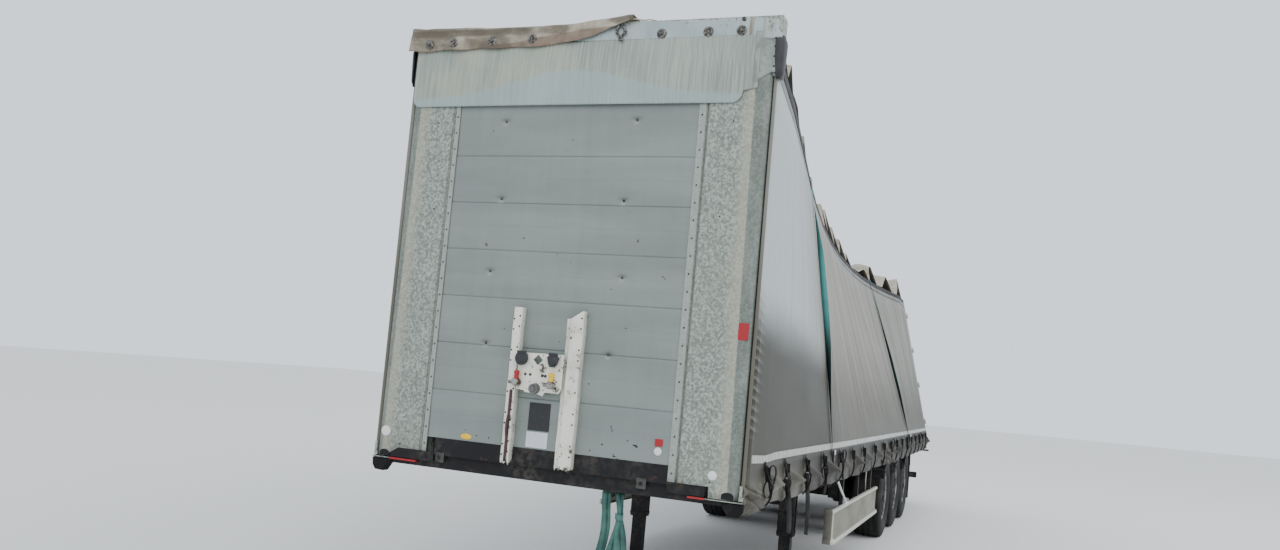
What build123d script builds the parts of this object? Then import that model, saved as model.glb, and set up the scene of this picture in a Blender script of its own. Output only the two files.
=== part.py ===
from build123d import *
from math import asin, cos, degrees, pi, radians, sin
import os

# A racked, tri-axle, curtain-sided semi trailer that stands on its landing legs.
# Millimetres; +X is forward, +Y the trailer's left, +Z up. The origin is the middle of the kingpin's
# upper collar. "Station" is the distance behind the front wall's face, "height" that above the ground.
os.makedirs("parts", exist_ok=True)

# Whole trailer
BODY_LENGTH = 13560.0       # front wall's face to the rear portal's rear face
BODY_WIDTH = 2550.0         # over the curtains
FLOOR_HEIGHT = 1250.0       # top of the deck
WALL_HEIGHT = 4000.0        # top of the front wall
COUPLING_HEIGHT = 1100.0    # underside of the coupling plate
SEAT_GAP = 0.3              # between faces of soft, curved or racked pieces that touch

# The body's lean to the right: none at the upright front wall, most at LEAN_PEAK_STATION, held at the rear
LEAN_PEAK_DEG = 19.0
LEAN_PEAK_STATION = 8600.0
LEAN_EASE = 1.15            # above 1 the lean sets in gently
LEAN_HELD_LENGTH = 900.0
LEAN_BAYS = 12

# Kingpin, the usual 50 mm size
PIN_SETBACK = 1600.0
PIN_COLLAR_R = 36.5
PIN_COLLAR_LENGTH = 36.0
PIN_NECK_R = 25.4
PIN_NECK_LENGTH = 35.0
PIN_FOOT_R = 35.75
PIN_FOOT_LENGTH = 13.0
COUPLING_PLATE_T = 10.0
COUPLING_PLATE_WIDTH = 1330.0
COUPLING_PLATE_LENGTH = 2200.0

# Chassis
BEAM_TYRE_GAP = 160.0       # between the beams' flanges and the tyres
BEAM_FLANGE_WIDTH = 130.0
BEAM_FLANGE_T = 12.0
BEAM_WEB_T = 10.0
BEAM_DEPTH = 450.0
NECK_END_STATION = 2850.0
NECK_SLOPE_LENGTH = 500.0
DECK_T = 28.0
CROSS_COUNT = 22
CROSS_INSET = 260.0         # the end cross members from the beams' ends
CROSS_DEPTH = 80.0
CROSS_WEB_T = 6.0
CROSS_FLANGE_WIDTH = 50.0
RAVE_DEPTH = 140.0
RAVE_FLANGE = 50.0
RAVE_T = 6.0

# Front wall
POST_WIDTH = 475.0          # from the panel's edge to the trailer's side
POST_DEPTH = 110.0
POST_SHEET = 4.0
POST_FLANGE = 60.0          # the riveted strip over the panel's edge
POST_EDGE_GAP = 42.0        # from its outer edge to the trailer's side, open beside the curtain's pole
POST_SHOULDER_GAP = 10.0    # from the curtain's top to the post's part of full width
POST_CHAMFER = 30.0
POST_FOOT_HEIGHT = 1126.0
POST_SHEET_FOOT_HEIGHT = 1190.0
POST_FOOT_STEP = 83.0       # width of the part that reaches down to the foot
POST_BACK_SLOT = 250.0
PLANK_PITCH = 307.0
LOWEST_PLANK = 339.0        # its foot is behind the front beam
PLANK_T = 30.0
PLANK_GROOVE = 3.0
PANEL_FOOT_HEIGHT = 1284.0
HEADER_DEPTH = 130.0
FLAP_DROP = 390.0
FLAP_T = 5.0
FLAP_RIGHT_Y = -1175.0
FLAP_LEFT_Y = 1150.0
FLAP_CORNER_R = 60.0
FLAP_LAP = 30.0             # over the header's foot
CAP_DROP = 240.0
CAP_DEPTH = 90.0
CAP_T = 14.0
FRONT_BEAM_DEPTH = 111.0
FRONT_BEAM_T = 60.0
FRONT_SILL_FOOT_HEIGHT = 1086.0
FRONT_SILL_SETBACK = 30.0

# Connector bracket on the front wall: (name, centre y, width, foot height, top height)
CHANNELS = [
    ("right", -255.0, 70.0, 1210.0, 2160.0),
    ("left", 135.0, 110.0, 1210.0, 2160.0),
]
CHANNEL_DEPTH = 55.0
CHANNEL_T = 4.0
BRACKET_PLATE_FOOT_HEIGHT = 1630.0
BRACKET_PLATE_TOP_HEIGHT = 1880.0
BRACKET_PLATE_T = 6.0
# Fittings on the bracket's plate: (name, y, height, radius, length)
FITTINGS = [
    ("socket_right", -185.0, 1840.0, 32.0, 42.0),
    ("socket_left", 25.0, 1840.0, 32.0, 42.0),
    ("coupling_red", -160.0, 1700.0, 24.0, 60.0),
    ("coupling_yellow", 10.0, 1700.0, 24.0, 60.0),
    ("socket_grey", -75.0, 1670.0, 30.0, 45.0),
]

# Landing legs
LEG_STATION = 3900.0
LEG_GAP = 5.0               # between the beam's flange and the leg
LEG_OUTER_X = 140.0
LEG_OUTER_Y = 150.0
LEG_INNER = 110.0
LEG_WALL = 8.0
LEG_OUTER_FOOT_HEIGHT = 420.0
LEG_OVERLAP = 160.0
LEG_TOP_HEIGHT = 1110.0
LEG_SHOE_X = 260.0
LEG_SHOE_Y = 230.0
LEG_SHOE_T = 14.0
LEG_ANKLE_R = 40.0
LEG_SHAFT_R = 16.0
LEG_SHAFT_HEIGHT = 720.0
LEG_BRACKET_DEPTH = 120.0
LEG_BRACKET_DROP = 20.0
LEG_COLLAR = 20.0
ANKLE_SINK = 4.0            # the ankle let into the shoe
LEG_GEARBOX = 90.0
CRANK_R = 10.0
CRANK_THROW = 260.0
CRANK_GRIP = 130.0

# Axles and suspension
AXLE_STATIONS = [7990.0, 9300.0, 10610.0]
AXLE_TUBE = 150.0
AXLE_TUBE_REACH = 165.0     # from the tube's end to the drum's inner edge
SPINDLE_R = 45.0
HANGER_LEAD = 500.0         # the arm's pivot ahead of the axle
HANGER_WIDTH = 120.0
HANGER_LENGTH = 130.0
HANGER_WALL = 10.0
HANGER_SKIRT = 10.0         # below the arm's eye
PIVOT_HEIGHT = 540.0
ARM_WIDTH = 80.0
ARM_DEPTH = 55.0
ARM_EYE_R = 48.0
ARM_NOSE = 24.0             # half the arm's depth at its eye
ARM_PIN_R = 18.0
ARM_TAIL = 400.0
BELLOWS_R = 150.0
BELLOWS_NECK_R = 110.0
CHAMBER_R = 85.0
CHAMBER_LENGTH = 190.0
CHAMBER_Y = 380.0
CHAMBER_GAP = 40.0          # the chamber ahead of the tube
CHAMBER_LIFT = 30.0
BACK_PLATE_GAP = 6.0
SPINDLE_END = 20.0          # past the rim's disc

# Wheels, single tyres of the wide 22.5 inch size
TYRE_R = 535.0
TYRE_WIDTH = 385.0
TYRE_INSET = 65.0           # the tyre's outer face inside the trailer's side
TYRE_TREAD_WIDTH = 310.0
TYRE_BEAD_R = 287.0
TYRE_BEAD_WIDTH = 296.0
TYRE_WALL = 22.0
TYRE_LIP = 3.0
TYRE_CHEEK = 55.0           # height of the wall's curved ends
TYRE_CURVE = 10.0
TYRE_CROWN = 4.0
TYRE_EDGE = 60.0
RIM_T = 11.0
RIM_FLANGE_R = 303.0
RIM_DISC_T = 14.0
RIM_WELL = 40.0
RIM_LIP = 14.0              # the flange outside the bead seat
RIM_LIP_T = 6.0
RIM_DISC_SETBACK = 95.0     # the disc's outer face behind the tyre's outer face
HAND_HOLE_COUNT = 10
HAND_HOLE_R = 24.0
HAND_HOLE_CIRCLE_R = 205.0
HUB_R = 135.0
HUB_CAP_R = 78.0
HUB_CAP_LENGTH = 60.0
HUB_STAND = 30.0            # the hub's face outside the disc
HUB_END_T = 8.0
DRUM_R = 222.0
DRUM_LENGTH = 190.0
DRUM_T = 14.0
RUNNING_FIT = 0.1           # radial, spindle in hub

# Mudguards
GUARD_CLEARANCE = 28.0
GUARD_T = 6.0
GUARD_WIDTH = 420.0
GUARD_HALF_ANGLE = 62.0
STAY_R = 14.0
STAY_SINK = 2.0             # the stay let into the arch
STAY_ANGLE = 50.0           # from the arch's top to its stay
SPRAY_FLAP_STATION = 11250.0
SPRAY_FLAP_FOOT_HEIGHT = 260.0
SPRAY_FLAP_TOP_HEIGHT = 1000.0
SPRAY_FLAP_T = 10.0

# Side guards
SIDE_GUARD_LEFT_START = 3500.0
SIDE_GUARD_RIGHT_START = 4070.0
SIDE_GUARD_END = 6550.0
SIDE_GUARD_FOOT_HEIGHT = 450.0
SIDE_GUARD_TOP_HEIGHT = 770.0
SIDE_GUARD_INSET = 25.0
SIDE_GUARD_RETURN = 95.0
SIDE_GUARD_LIP = 40.0
SIDE_GUARD_ARM = 50.0
SIDE_GUARD_T = 5.0
SIDE_GUARD_BRACKETS = 3

# Curtain-side body
SIDE_T = 8.0                # curtain
# The curtains' hems: side, height at the front, height at the rear
HEMS = {"left": (1118.0, 1005.0), "right": (1118.0, 1118.0)}
CURTAIN_START = 22.0
RAIL_DROP = 230.0           # the cant rails' top below the front wall's
RAIL_DEPTH = 170.0
RAIL_WIDTH = 60.0
RAIL_T = 6.0
CURTAIN_LAP = 26.0          # the curtain's top edge over the rail
PILLAR_STATIONS = [3450.0, 6750.0, 10150.0]
PILLAR_LENGTH = 100.0
PILLAR_WIDTH = 56.0
FRONT_POLE_R = 12.0
FRONT_POLE_STATION = 42.0
POLE_R = 17.0
POLE_INSET = 30.0           # ahead of the rear portal
POLE_GAP = 4.0              # from the cant rail, or a front pole from its curtain
BOW_COUNT = 11
BOW_START = 710.0
BOW_END_INSET = 700.0       # the last bow ahead of the portal
BOW_WIDTH = 40.0
BOW_DEPTH = 50.0
PORTAL_LENGTH = 120.0
PORTAL_POST_WIDTH = 120.0
SILL_DEPTH = 150.0
TARP_T = 10.0
# Folds of the slack roof tarpaulin: (station, rise above the cant rails)
TARP_FOLDS = [
    (60.0, RAIL_DROP + 2.0), (116.0, RAIL_DROP + 2.0), (330.0, 90.0), (560.0, 30.0), (750.0, 180.0),
    (920.0, 40.0), (1430.0, 100.0), (1700.0, 0.0), (2150.0, 0.0), (2380.0, 150.0), (2720.0, 0.0),
    (3050.0, 0.0), (3230.0, 60.0), (3430.0, 0.0), (5000.0, 0.0), (5350.0, 120.0), (5680.0, 20.0),
    (6280.0, 170.0), (6700.0, 10.0), (7250.0, 150.0), (7480.0, 10.0), (7850.0, 165.0), (8050.0, 10.0),
    (8340.0, 110.0), (8560.0, 0.0), (9300.0, 20.0), (10700.0, 200.0), (10880.0, 0.0), (11350.0, 10.0),
    (11870.0, 170.0), (12120.0, 0.0), (12520.0, 0.0), (12880.0, 150.0), (13150.0, 0.0),
]

# Rear doors
DOOR_T = 25.0
DOOR_SEAL = 6.0
DOOR_EDGE = 34.0            # the leaf's outer edge inside the portal's side
LUG_CLEARANCE = 6.0         # between the post's lugs and the leaf's edge
DOOR_MEETING_GAP = 12.0
DOOR_SILL_LAP = 90.0
DOOR_HEADER_LAP = 110.0
HINGE_SETBACK = 76.0        # the hinge axis behind the leaf's rear face
HINGE_OUTSET = 8.0
HINGE_R = 14.0
HINGE_PIN_R = 8.0
HINGE_SHARES = [0.09, 0.38, 0.66, 0.94]     # of the post's length
HINGE_KNUCKLE = 40.0
HINGE_ARM = 150.0
HINGE_ARM_T = 10.0
HINGE_ARM_OFFSET = 20.0
HINGE_CHEEK_INSET = 35.0
ROD_R = 13.5
ROD_STAND = 18.0
ROD_INSETS = [170.0, 780.0]
ROD_GUIDE_SHARES = [0.11, 0.48, 0.85]       # of the post's length
ROD_GUIDE_WIDTH = 60.0
ROD_GUIDE_DEPTH = 46.0
ROD_SHORT = 40.0            # the rods shorter than the leaf
ROD_HANDLE = 420.0
ROD_HANDLE_T = 10.0
ROD_HANDLE_DEPTH = 28.0
ROD_HANDLE_HEIGHT = 420.0

# Underrun bar and lamps
UNDERRUN_HEIGHT = 500.0
UNDERRUN_DEPTH = 100.0
UNDERRUN_T = 60.0
UNDERRUN_HALF = 1150.0
UNDERRUN_SETBACK = 180.0
UNDERRUN_ARM_X = 70.0
UNDERRUN_ARM_Y = 60.0
LAMP_WIDTH = 380.0
LAMP_DEPTH = 130.0
LAMP_T = 60.0
LAMP_INSET = 120.0
LAMP_SETBACK = 10.0
SIDE_LAMP_REACH = 60.0
SIDE_LAMP_R = 16.0
SIDE_LAMP_DROP = 140.0
SIDE_LAMP_INSET = 60.0
SIDE_LAMP_ARM_X = 30.0
SIDE_LAMP_ARM_Y = 50.0

# Air tank under the chassis
TANK_R = 123.0
TANK_BEARER = 8             # the cross member over its front strap, counted from the front
TANK_OVERHANG = 90.0
TANK_STRAP = 40.0
TANK_LIFT = 60.0            # the tank's foot above the beams'

# Places worked out from the sizes above
ORIGIN_HEIGHT = COUPLING_HEIGHT - PIN_COLLAR_LENGTH / 2
HALF_WIDTH = BODY_WIDTH / 2
RAVE_FACE = HALF_WIDTH - SIDE_T - SEAT_GAP
DECK_FOOT_HEIGHT = FLOOR_HEIGHT - DECK_T
NECK_FOOT_HEIGHT = COUPLING_HEIGHT + COUPLING_PLATE_T
BEAM_FOOT_HEIGHT = DECK_FOOT_HEIGHT - BEAM_DEPTH
BEAM_START = FRONT_SILL_SETBACK + FRONT_BEAM_T
BEAM_END = BODY_LENGTH - PORTAL_LENGTH
PANEL_HALF = HALF_WIDTH - POST_WIDTH
WALL_BOX_Y = PANEL_HALF + POST_FLANGE
HEADER_FOOT_HEIGHT = WALL_HEIGHT - HEADER_DEPTH
RAIL_TOP = WALL_HEIGHT - FLOOR_HEIGHT - RAIL_DROP     # up the leaning side from the deck
RAIL_FOOT = RAIL_TOP - RAIL_DEPTH
POST_SIDE = HALF_WIDTH - POST_EDGE_GAP
SHOULDER_RISE = RAIL_FOOT + CURTAIN_LAP + POST_SHOULDER_GAP
TYRE_OUTER_Y = HALF_WIDTH - TYRE_INSET
TYRE_CENTRE_Y = TYRE_OUTER_Y - TYRE_WIDTH / 2
BEAM_TYRE_Y = TYRE_OUTER_Y - TYRE_WIDTH - BEAM_TYRE_GAP
BEAM_CENTRE_Y = BEAM_TYRE_Y - BEAM_FLANGE_WIDTH / 2
LEG_CENTRE_Y = BEAM_CENTRE_Y + BEAM_FLANGE_WIDTH / 2 + LEG_GAP + LEG_OUTER_Y / 2
DISC_Y = TYRE_OUTER_Y - RIM_DISC_SETBACK
AXLE_TUBE_HALF = DISC_Y - DRUM_LENGTH - AXLE_TUBE_REACH
DOOR_FRONT = BODY_LENGTH + DOOR_SEAL
DOOR_REAR = DOOR_FRONT + DOOR_T
HINGE_STATION = DOOR_REAR + HINGE_SETBACK
HINGE_Y = RAVE_FACE + HINGE_OUTSET
SIDES = [("left", 1), ("right", -1)]


def along(station):
    """X of a station."""
    return PIN_SETBACK - station


def up(height):
    """Z of a height above the ground."""
    return height - ORIGIN_HEIGHT


def lean_deg(station):
    """Lean of the body at a station, before it is cut into bays."""
    held = max(0.0, min(station, BODY_LENGTH - LEAN_HELD_LENGTH))
    return LEAN_PEAK_DEG * sin(pi / 2 * held / LEAN_PEAK_STATION) ** LEAN_EASE


BAY_LENGTH = (BODY_LENGTH - LEAN_HELD_LENGTH) / LEAN_BAYS
BAY_STATIONS = [BAY_LENGTH * i for i in range(LEAN_BAYS + 1)] + [BODY_LENGTH + LEAN_HELD_LENGTH]
REAR_LEAN_DEG = lean_deg(BODY_LENGTH)


def leaning(station, y, rise):
    """A point of the body, which leans above the deck, hangs straight below it and runs straight in a bay."""
    bay = max(i for i in range(len(BAY_STATIONS) - 1) if BAY_STATIONS[i] <= max(station, 0.0))
    near, far = BAY_STATIONS[bay], BAY_STATIONS[bay + 1]
    share = (station - near) / (far - near)
    near_lean, far_lean = radians(lean_deg(near)), radians(lean_deg(far))
    shift = (1 - share) * sin(near_lean) + share * sin(far_lean)
    climb = (1 - share) * cos(near_lean) + share * cos(far_lean)
    if rise < 0:
        shift, climb = 0.0, 1.0
    return Vector(along(station), y - rise * shift, up(FLOOR_HEIGHT) + rise * climb)


def bays_between(start, end):
    """The start and end stations with each bay's station between them."""
    return [start] + [s for s in BAY_STATIONS if start < s < end] + [end]


def box_between(stations, ys, heights):
    """A box from two stations, two y values and two heights."""
    lows = (min(along(s) for s in stations), min(ys), up(min(heights)))
    sizes = (abs(stations[0] - stations[1]), abs(ys[0] - ys[1]), abs(heights[0] - heights[1]))
    return Pos(*lows) * Box(*sizes, align=(Align.MIN, Align.MIN, Align.MIN))


def side_plate(outline, y_low, y_high):
    """A plate of a (station, height) outline between two y values."""
    wire = Wire.make_polygon([(along(s), y_low, up(h)) for s, h in outline])
    return extrude(Face(wire), y_high - y_low, dir=(0, 1, 0))


def cross_plate(outline, station_front, station_rear):
    """A plate of a (y, height) outline between two stations."""
    wire = Wire.make_polygon([(along(station_rear), y, up(h)) for y, h in outline])
    return extrude(Face(wire), station_rear - station_front, dir=(1, 0, 0))


def rod_x(radius, station_front, station_rear, y, height):
    """A cylinder along the trailer."""
    length = station_rear - station_front
    place = Pos(along((station_front + station_rear) / 2), y, up(height)) * Rot(0, 90, 0)
    return place * Cylinder(radius, length)


def rod_y(radius, y_low, y_high, station, height):
    """A cylinder across the trailer."""
    place = Pos(along(station), (y_low + y_high) / 2, up(height)) * Rot(90, 0, 0)
    return place * Cylinder(radius, y_high - y_low)


def rod_z(radius, height_low, height_high, station, y):
    """An upright cylinder."""
    place = Pos(along(station), y, up((height_low + height_high) / 2))
    return place * Cylinder(radius, height_high - height_low)


def leaning_loft(stations, section):
    """A straight-ruled solid through section(station), a list of (y, rise) corners."""
    wires = [Wire.make_polygon([leaning(s, y, rise) for y, rise in section(s)]) for s in stations]
    return Solid.make_loft(wires, ruled=True)


def mirrored(shape):
    return mirror(shape, about=Plane.XZ)


def save(name, *shapes):
    """Writes a node: one solid, or several that don't touch."""
    solids = [s for shape in shapes for s in shape.solids()]
    body = solids[0] if len(solids) == 1 else Compound(children=solids)
    export_step(body, "parts/" + name + ".step")


def beam(side):
    """A main beam, shallow over the coupling and deep behind it, as an I section."""
    slope_end = NECK_END_STATION + NECK_SLOPE_LENGTH
    outline = [
        (BEAM_START, DECK_FOOT_HEIGHT), (BEAM_END, DECK_FOOT_HEIGHT), (BEAM_END, BEAM_FOOT_HEIGHT),
        (slope_end, BEAM_FOOT_HEIGHT), (NECK_END_STATION, NECK_FOOT_HEIGHT), (BEAM_START, NECK_FOOT_HEIGHT),
    ]
    t = BEAM_FLANGE_T
    pocket = [
        (BEAM_START - t, DECK_FOOT_HEIGHT - t), (BEAM_END + t, DECK_FOOT_HEIGHT - t),
        (BEAM_END + t, BEAM_FOOT_HEIGHT + t), (slope_end + t, BEAM_FOOT_HEIGHT + t),
        (NECK_END_STATION + t, NECK_FOOT_HEIGHT + t), (BEAM_START - t, NECK_FOOT_HEIGHT + t),
    ]
    centre = side * BEAM_CENTRE_Y
    half = BEAM_FLANGE_WIDTH / 2
    shape = side_plate(outline, centre - half, centre + half)
    shape -= side_plate(pocket, centre + BEAM_WEB_T / 2, centre + half + 1)
    shape -= side_plate(pocket, centre - half - 1, centre - BEAM_WEB_T / 2)
    return shape


def cross_station(index):
    first = BEAM_START + CROSS_INSET
    last = BEAM_END - CROSS_INSET
    return first + (last - first) * index / (CROSS_COUNT - 1)


def cross_members():
    """Bearers under the deck, each in three: between the beams and out to both raves."""
    web_y = BEAM_CENTRE_Y - BEAM_WEB_T / 2
    tip_y = BEAM_CENTRE_Y - BEAM_FLANGE_WIDTH / 2
    out_web_y = BEAM_CENTRE_Y + BEAM_WEB_T / 2
    out_tip_y = BEAM_CENTRE_Y + BEAM_FLANGE_WIDTH / 2
    rave_y = RAVE_FACE - RAVE_T
    top, foot = DECK_FOOT_HEIGHT, DECK_FOOT_HEIGHT - CROSS_DEPTH
    under = top - BEAM_FLANGE_T
    shapes = []
    for index in range(CROSS_COUNT):
        station = cross_station(index)
        middle = [
            (-web_y, foot), (web_y, foot), (web_y, under), (tip_y, under), (tip_y, top),
            (-tip_y, top), (-tip_y, under), (-web_y, under),
        ]
        flange = (station - CROSS_FLANGE_WIDTH / 2, station + CROSS_FLANGE_WIDTH / 2)
        web = (station - CROSS_WEB_T / 2, station + CROSS_WEB_T / 2)
        shapes.append(
            cross_plate(middle, *web) + box_between(flange, (-tip_y, tip_y), (top - CROSS_WEB_T, top))
        )
        outer = [
            (out_web_y, foot), (rave_y, foot), (rave_y, top), (out_tip_y, top),
            (out_tip_y, under), (out_web_y, under),
        ]
        outrigger = cross_plate(outer, *web)
        outrigger += box_between(flange, (out_tip_y, rave_y), (top - CROSS_WEB_T, top))
        shapes += [outrigger, mirrored(outrigger)]
    return shapes


def side_rave(side):
    """The channel along the deck's edge, open to the inside."""
    start, end = POST_DEPTH, BEAM_END
    top, foot = FLOOR_HEIGHT, FLOOR_HEIGHT - RAVE_DEPTH
    shape = box_between((start, end), (RAVE_FACE - RAVE_T, RAVE_FACE), (foot, top))
    shape += box_between((start, end), (RAVE_FACE - RAVE_FLANGE, RAVE_FACE), (foot, foot + RAVE_T))
    return shape if side > 0 else mirrored(shape)


def deck():
    edge = RAVE_FACE - RAVE_T
    return box_between((POST_DEPTH, BEAM_END), (-edge, edge), (DECK_FOOT_HEIGHT, FLOOR_HEIGHT))


def front_beam():
    """The black beam under the front panel, with the sill behind and below it that carries the posts."""
    sill_back = FRONT_SILL_SETBACK + FRONT_BEAM_T
    web_foot = PANEL_FOOT_HEIGHT - FRONT_BEAM_DEPTH
    inner = PANEL_HALF - SEAT_GAP
    upper = box_between((0, FRONT_BEAM_T), (-inner, inner), (web_foot, PANEL_FOOT_HEIGHT))
    web = box_between((FRONT_SILL_SETBACK, FRONT_BEAM_T), (-inner, inner), (POST_FOOT_HEIGHT, web_foot))
    sill_half = RAVE_FACE - RAVE_T
    sill = box_between(
        (FRONT_SILL_SETBACK, sill_back), (-sill_half, sill_half), (FRONT_SILL_FOOT_HEIGHT, POST_FOOT_HEIGHT)
    )
    return upper + web + sill


def coupling_plate():
    """The rubbing plate over the tractor's fifth wheel."""
    half = COUPLING_PLATE_WIDTH / 2
    start = BEAM_START + SEAT_GAP
    return box_between(
        (start, start + COUPLING_PLATE_LENGTH), (-half, half), (COUPLING_HEIGHT, NECK_FOOT_HEIGHT)
    )


def kingpin():
    z = up(COUPLING_HEIGHT)
    shape = Pos(0, 0, z - PIN_COLLAR_LENGTH / 2) * Cylinder(PIN_COLLAR_R, PIN_COLLAR_LENGTH)
    z -= PIN_COLLAR_LENGTH
    shape += Pos(0, 0, z - PIN_NECK_LENGTH / 2) * Cylinder(PIN_NECK_R, PIN_NECK_LENGTH)
    z -= PIN_NECK_LENGTH
    shape += Pos(0, 0, z - PIN_FOOT_LENGTH / 2) * Cylinder(PIN_FOOT_R, PIN_FOOT_LENGTH)
    return shape


def front_panel():
    """The planked wall between the posts, grooved where planks meet."""
    half = WALL_BOX_Y - SEAT_GAP
    front, back = POST_SHEET, POST_SHEET + PLANK_T
    shape = box_between((front, back), (-half, half), (PANEL_FOOT_HEIGHT, HEADER_FOOT_HEIGHT))
    seam = PANEL_FOOT_HEIGHT + LOWEST_PLANK
    while seam < HEADER_FOOT_HEIGHT - PLANK_PITCH / 3:
        groove = (seam - PLANK_GROOVE / 2, seam + PLANK_GROOVE / 2)
        shape -= box_between((front - 1, front + PLANK_GROOVE), (-half - 1, half + 1), groove)
        seam += PLANK_PITCH
    return shape


def front_post(side):
    """A folded sheet post: a riveted strip, the broad face, a chamfered edge, an open back and a shoulder."""
    t = POST_SHEET
    outer = [
        (0, WALL_BOX_Y), (0, POST_SIDE - POST_CHAMFER), (POST_CHAMFER, POST_SIDE),
        (POST_DEPTH, POST_SIDE), (POST_DEPTH, WALL_BOX_Y),
    ]
    cut = t * (2 ** 0.5 - 1)
    inner = [
        (t, WALL_BOX_Y + t), (t, POST_SIDE - POST_CHAMFER - cut), (POST_CHAMFER + cut, POST_SIDE - t),
        (POST_DEPTH - t, POST_SIDE - t), (POST_DEPTH - t, WALL_BOX_Y + t),
    ]
    height = HEADER_FOOT_HEIGHT - POST_FOOT_HEIGHT

    def column(outline, low, high):
        wire = Wire.make_polygon([(along(s), y, up(low)) for s, y in outline])
        return extrude(Face(wire), high - low, dir=(0, 0, 1))

    shape = column(outer, POST_FOOT_HEIGHT, HEADER_FOOT_HEIGHT)
    shape -= column(inner, POST_FOOT_HEIGHT + t, HEADER_FOOT_HEIGHT - t)
    slot_y = (WALL_BOX_Y + POST_SIDE - POST_BACK_SLOT) / 2
    shape -= box_between(
        (POST_DEPTH - 2 * t, POST_DEPTH + 1), (slot_y, slot_y + POST_BACK_SLOT),
        (POST_FOOT_HEIGHT + t, HEADER_FOOT_HEIGHT - t),
    )
    shape += box_between((0, t), (PANEL_HALF, WALL_BOX_Y + t), (POST_SHEET_FOOT_HEIGHT, HEADER_FOOT_HEIGHT))
    step_y = POST_SIDE - POST_FOOT_STEP
    shape -= box_between(
        (-1, FRONT_SILL_SETBACK), (PANEL_HALF - 1, step_y), (POST_FOOT_HEIGHT - 1, POST_SHEET_FOOT_HEIGHT)
    )
    shape += box_between(
        (0, POST_DEPTH), (POST_SIDE - t, HALF_WIDTH), (FLOOR_HEIGHT + SHOULDER_RISE, HEADER_FOOT_HEIGHT)
    )
    return shape if side > 0 else mirrored(shape)


def front_header():
    """The hollow beam along the wall's top."""
    t = POST_SHEET
    shape = box_between((0, POST_DEPTH), (-HALF_WIDTH, HALF_WIDTH), (HEADER_FOOT_HEIGHT, WALL_HEIGHT))
    shape -= box_between(
        (t, POST_DEPTH - t), (-HALF_WIDTH + t, HALF_WIDTH - t), (HEADER_FOOT_HEIGHT + t, WALL_HEIGHT - t)
    )
    return shape


def header_flap():
    """The valance that hangs from the header over the wall's top, with rounded lower corners."""
    foot = HEADER_FOOT_HEIGHT - FLAP_DROP
    r = FLAP_CORNER_R
    y0, y1 = FLAP_RIGHT_Y, FLAP_LEFT_Y
    top = HEADER_FOOT_HEIGHT + FLAP_LAP
    plate = box_between((-SEAT_GAP - FLAP_T, -SEAT_GAP), (y0, y1), (foot, top))
    edges = plate.edges().filter_by(Axis.X).group_by(Axis.Z)[0]
    return fillet(edges, r)


def corner_cap(side):
    """The dark plastic cap on the wall's top corner."""
    y = HALF_WIDTH + SEAT_GAP
    top = WALL_HEIGHT - HEADER_DEPTH
    shape = box_between((0, CAP_DEPTH), (y, y + CAP_T), (top - CAP_DROP, top))
    return shape if side > 0 else mirrored(shape)


def connector_bracket():
    """Two upright channels on the front wall with the plate that holds the air and electric couplings."""
    shapes = None
    for _, y, width, foot, top in CHANNELS:
        half = width / 2
        t = CHANNEL_T
        outer = box_between((-CHANNEL_DEPTH, 0), (y - half, y + half), (foot, top))
        inner = box_between((-CHANNEL_DEPTH - 1, -t), (y - half + t, y + half - t), (foot - 1, top + 1))
        channel = outer - inner
        shapes = channel if shapes is None else shapes + channel
    (_, y_right, width_right, _, _), (_, y_left, width_left, _, _) = CHANNELS
    low_y, high_y = y_right + width_right / 2 - CHANNEL_T, y_left - width_left / 2 + CHANNEL_T
    plate = box_between(
        (-CHANNEL_DEPTH, -CHANNEL_DEPTH + BRACKET_PLATE_T), (low_y, high_y),
        (BRACKET_PLATE_FOOT_HEIGHT, BRACKET_PLATE_TOP_HEIGHT),
    )
    return shapes + plate


def couplings():
    """Air couplings and electric sockets that stand out of the bracket's plate."""
    return [rod_x(r, -CHANNEL_DEPTH - length, -CHANNEL_DEPTH, y, h) for _, y, h, r, length in FITTINGS]


def landing_leg(side):
    """An outer tube, a drawn-out inner tube and the swivelling shoe."""
    y = LEG_CENTRE_Y
    hx, hy, wall = LEG_OUTER_X / 2, LEG_OUTER_Y / 2, LEG_WALL
    s = LEG_STATION
    outer = box_between((s - hx, s + hx), (y - hy, y + hy), (LEG_OUTER_FOOT_HEIGHT, LEG_TOP_HEIGHT))
    outer -= box_between(
        (s - hx + wall, s + hx - wall), (y - hy + wall, y + hy - wall),
        (LEG_OUTER_FOOT_HEIGHT - 1, LEG_TOP_HEIGHT - wall),
    )
    collar_top = LEG_OUTER_FOOT_HEIGHT + LEG_OVERLAP
    collar_foot = collar_top - LEG_COLLAR
    collar = box_between((s - hx + 1, s + hx - 1), (y - hy + 1, y + hy - 1), (collar_foot, collar_top))
    half = LEG_INNER / 2
    ankle_height = LEG_SHOE_T + LEG_ANKLE_R - ANKLE_SINK
    inner = box_between((s - half, s + half), (y - half, y + half), (ankle_height, collar_top))
    inner -= box_between(
        (s - half + wall, s + half - wall), (y - half + wall, y + half - wall),
        (ankle_height + LEG_ANKLE_R, collar_foot),
    )
    ankle = rod_y(LEG_ANKLE_R, y - half, y + half, s, ankle_height)
    shoe = box_between(
        (s - LEG_SHOE_X / 2, s + LEG_SHOE_X / 2), (y - LEG_SHOE_Y / 2, y + LEG_SHOE_Y / 2), (0, LEG_SHOE_T)
    )
    bolt_y = BEAM_CENTRE_Y + BEAM_WEB_T / 2
    bracket_top = LEG_TOP_HEIGHT - LEG_BRACKET_DROP
    bracket = box_between((s - hx, s + hx), (bolt_y, y - hy), (bracket_top - LEG_BRACKET_DEPTH, bracket_top))
    shape = outer + collar + inner + ankle + shoe + bracket
    return shape if side > 0 else mirrored(shape)


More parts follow.
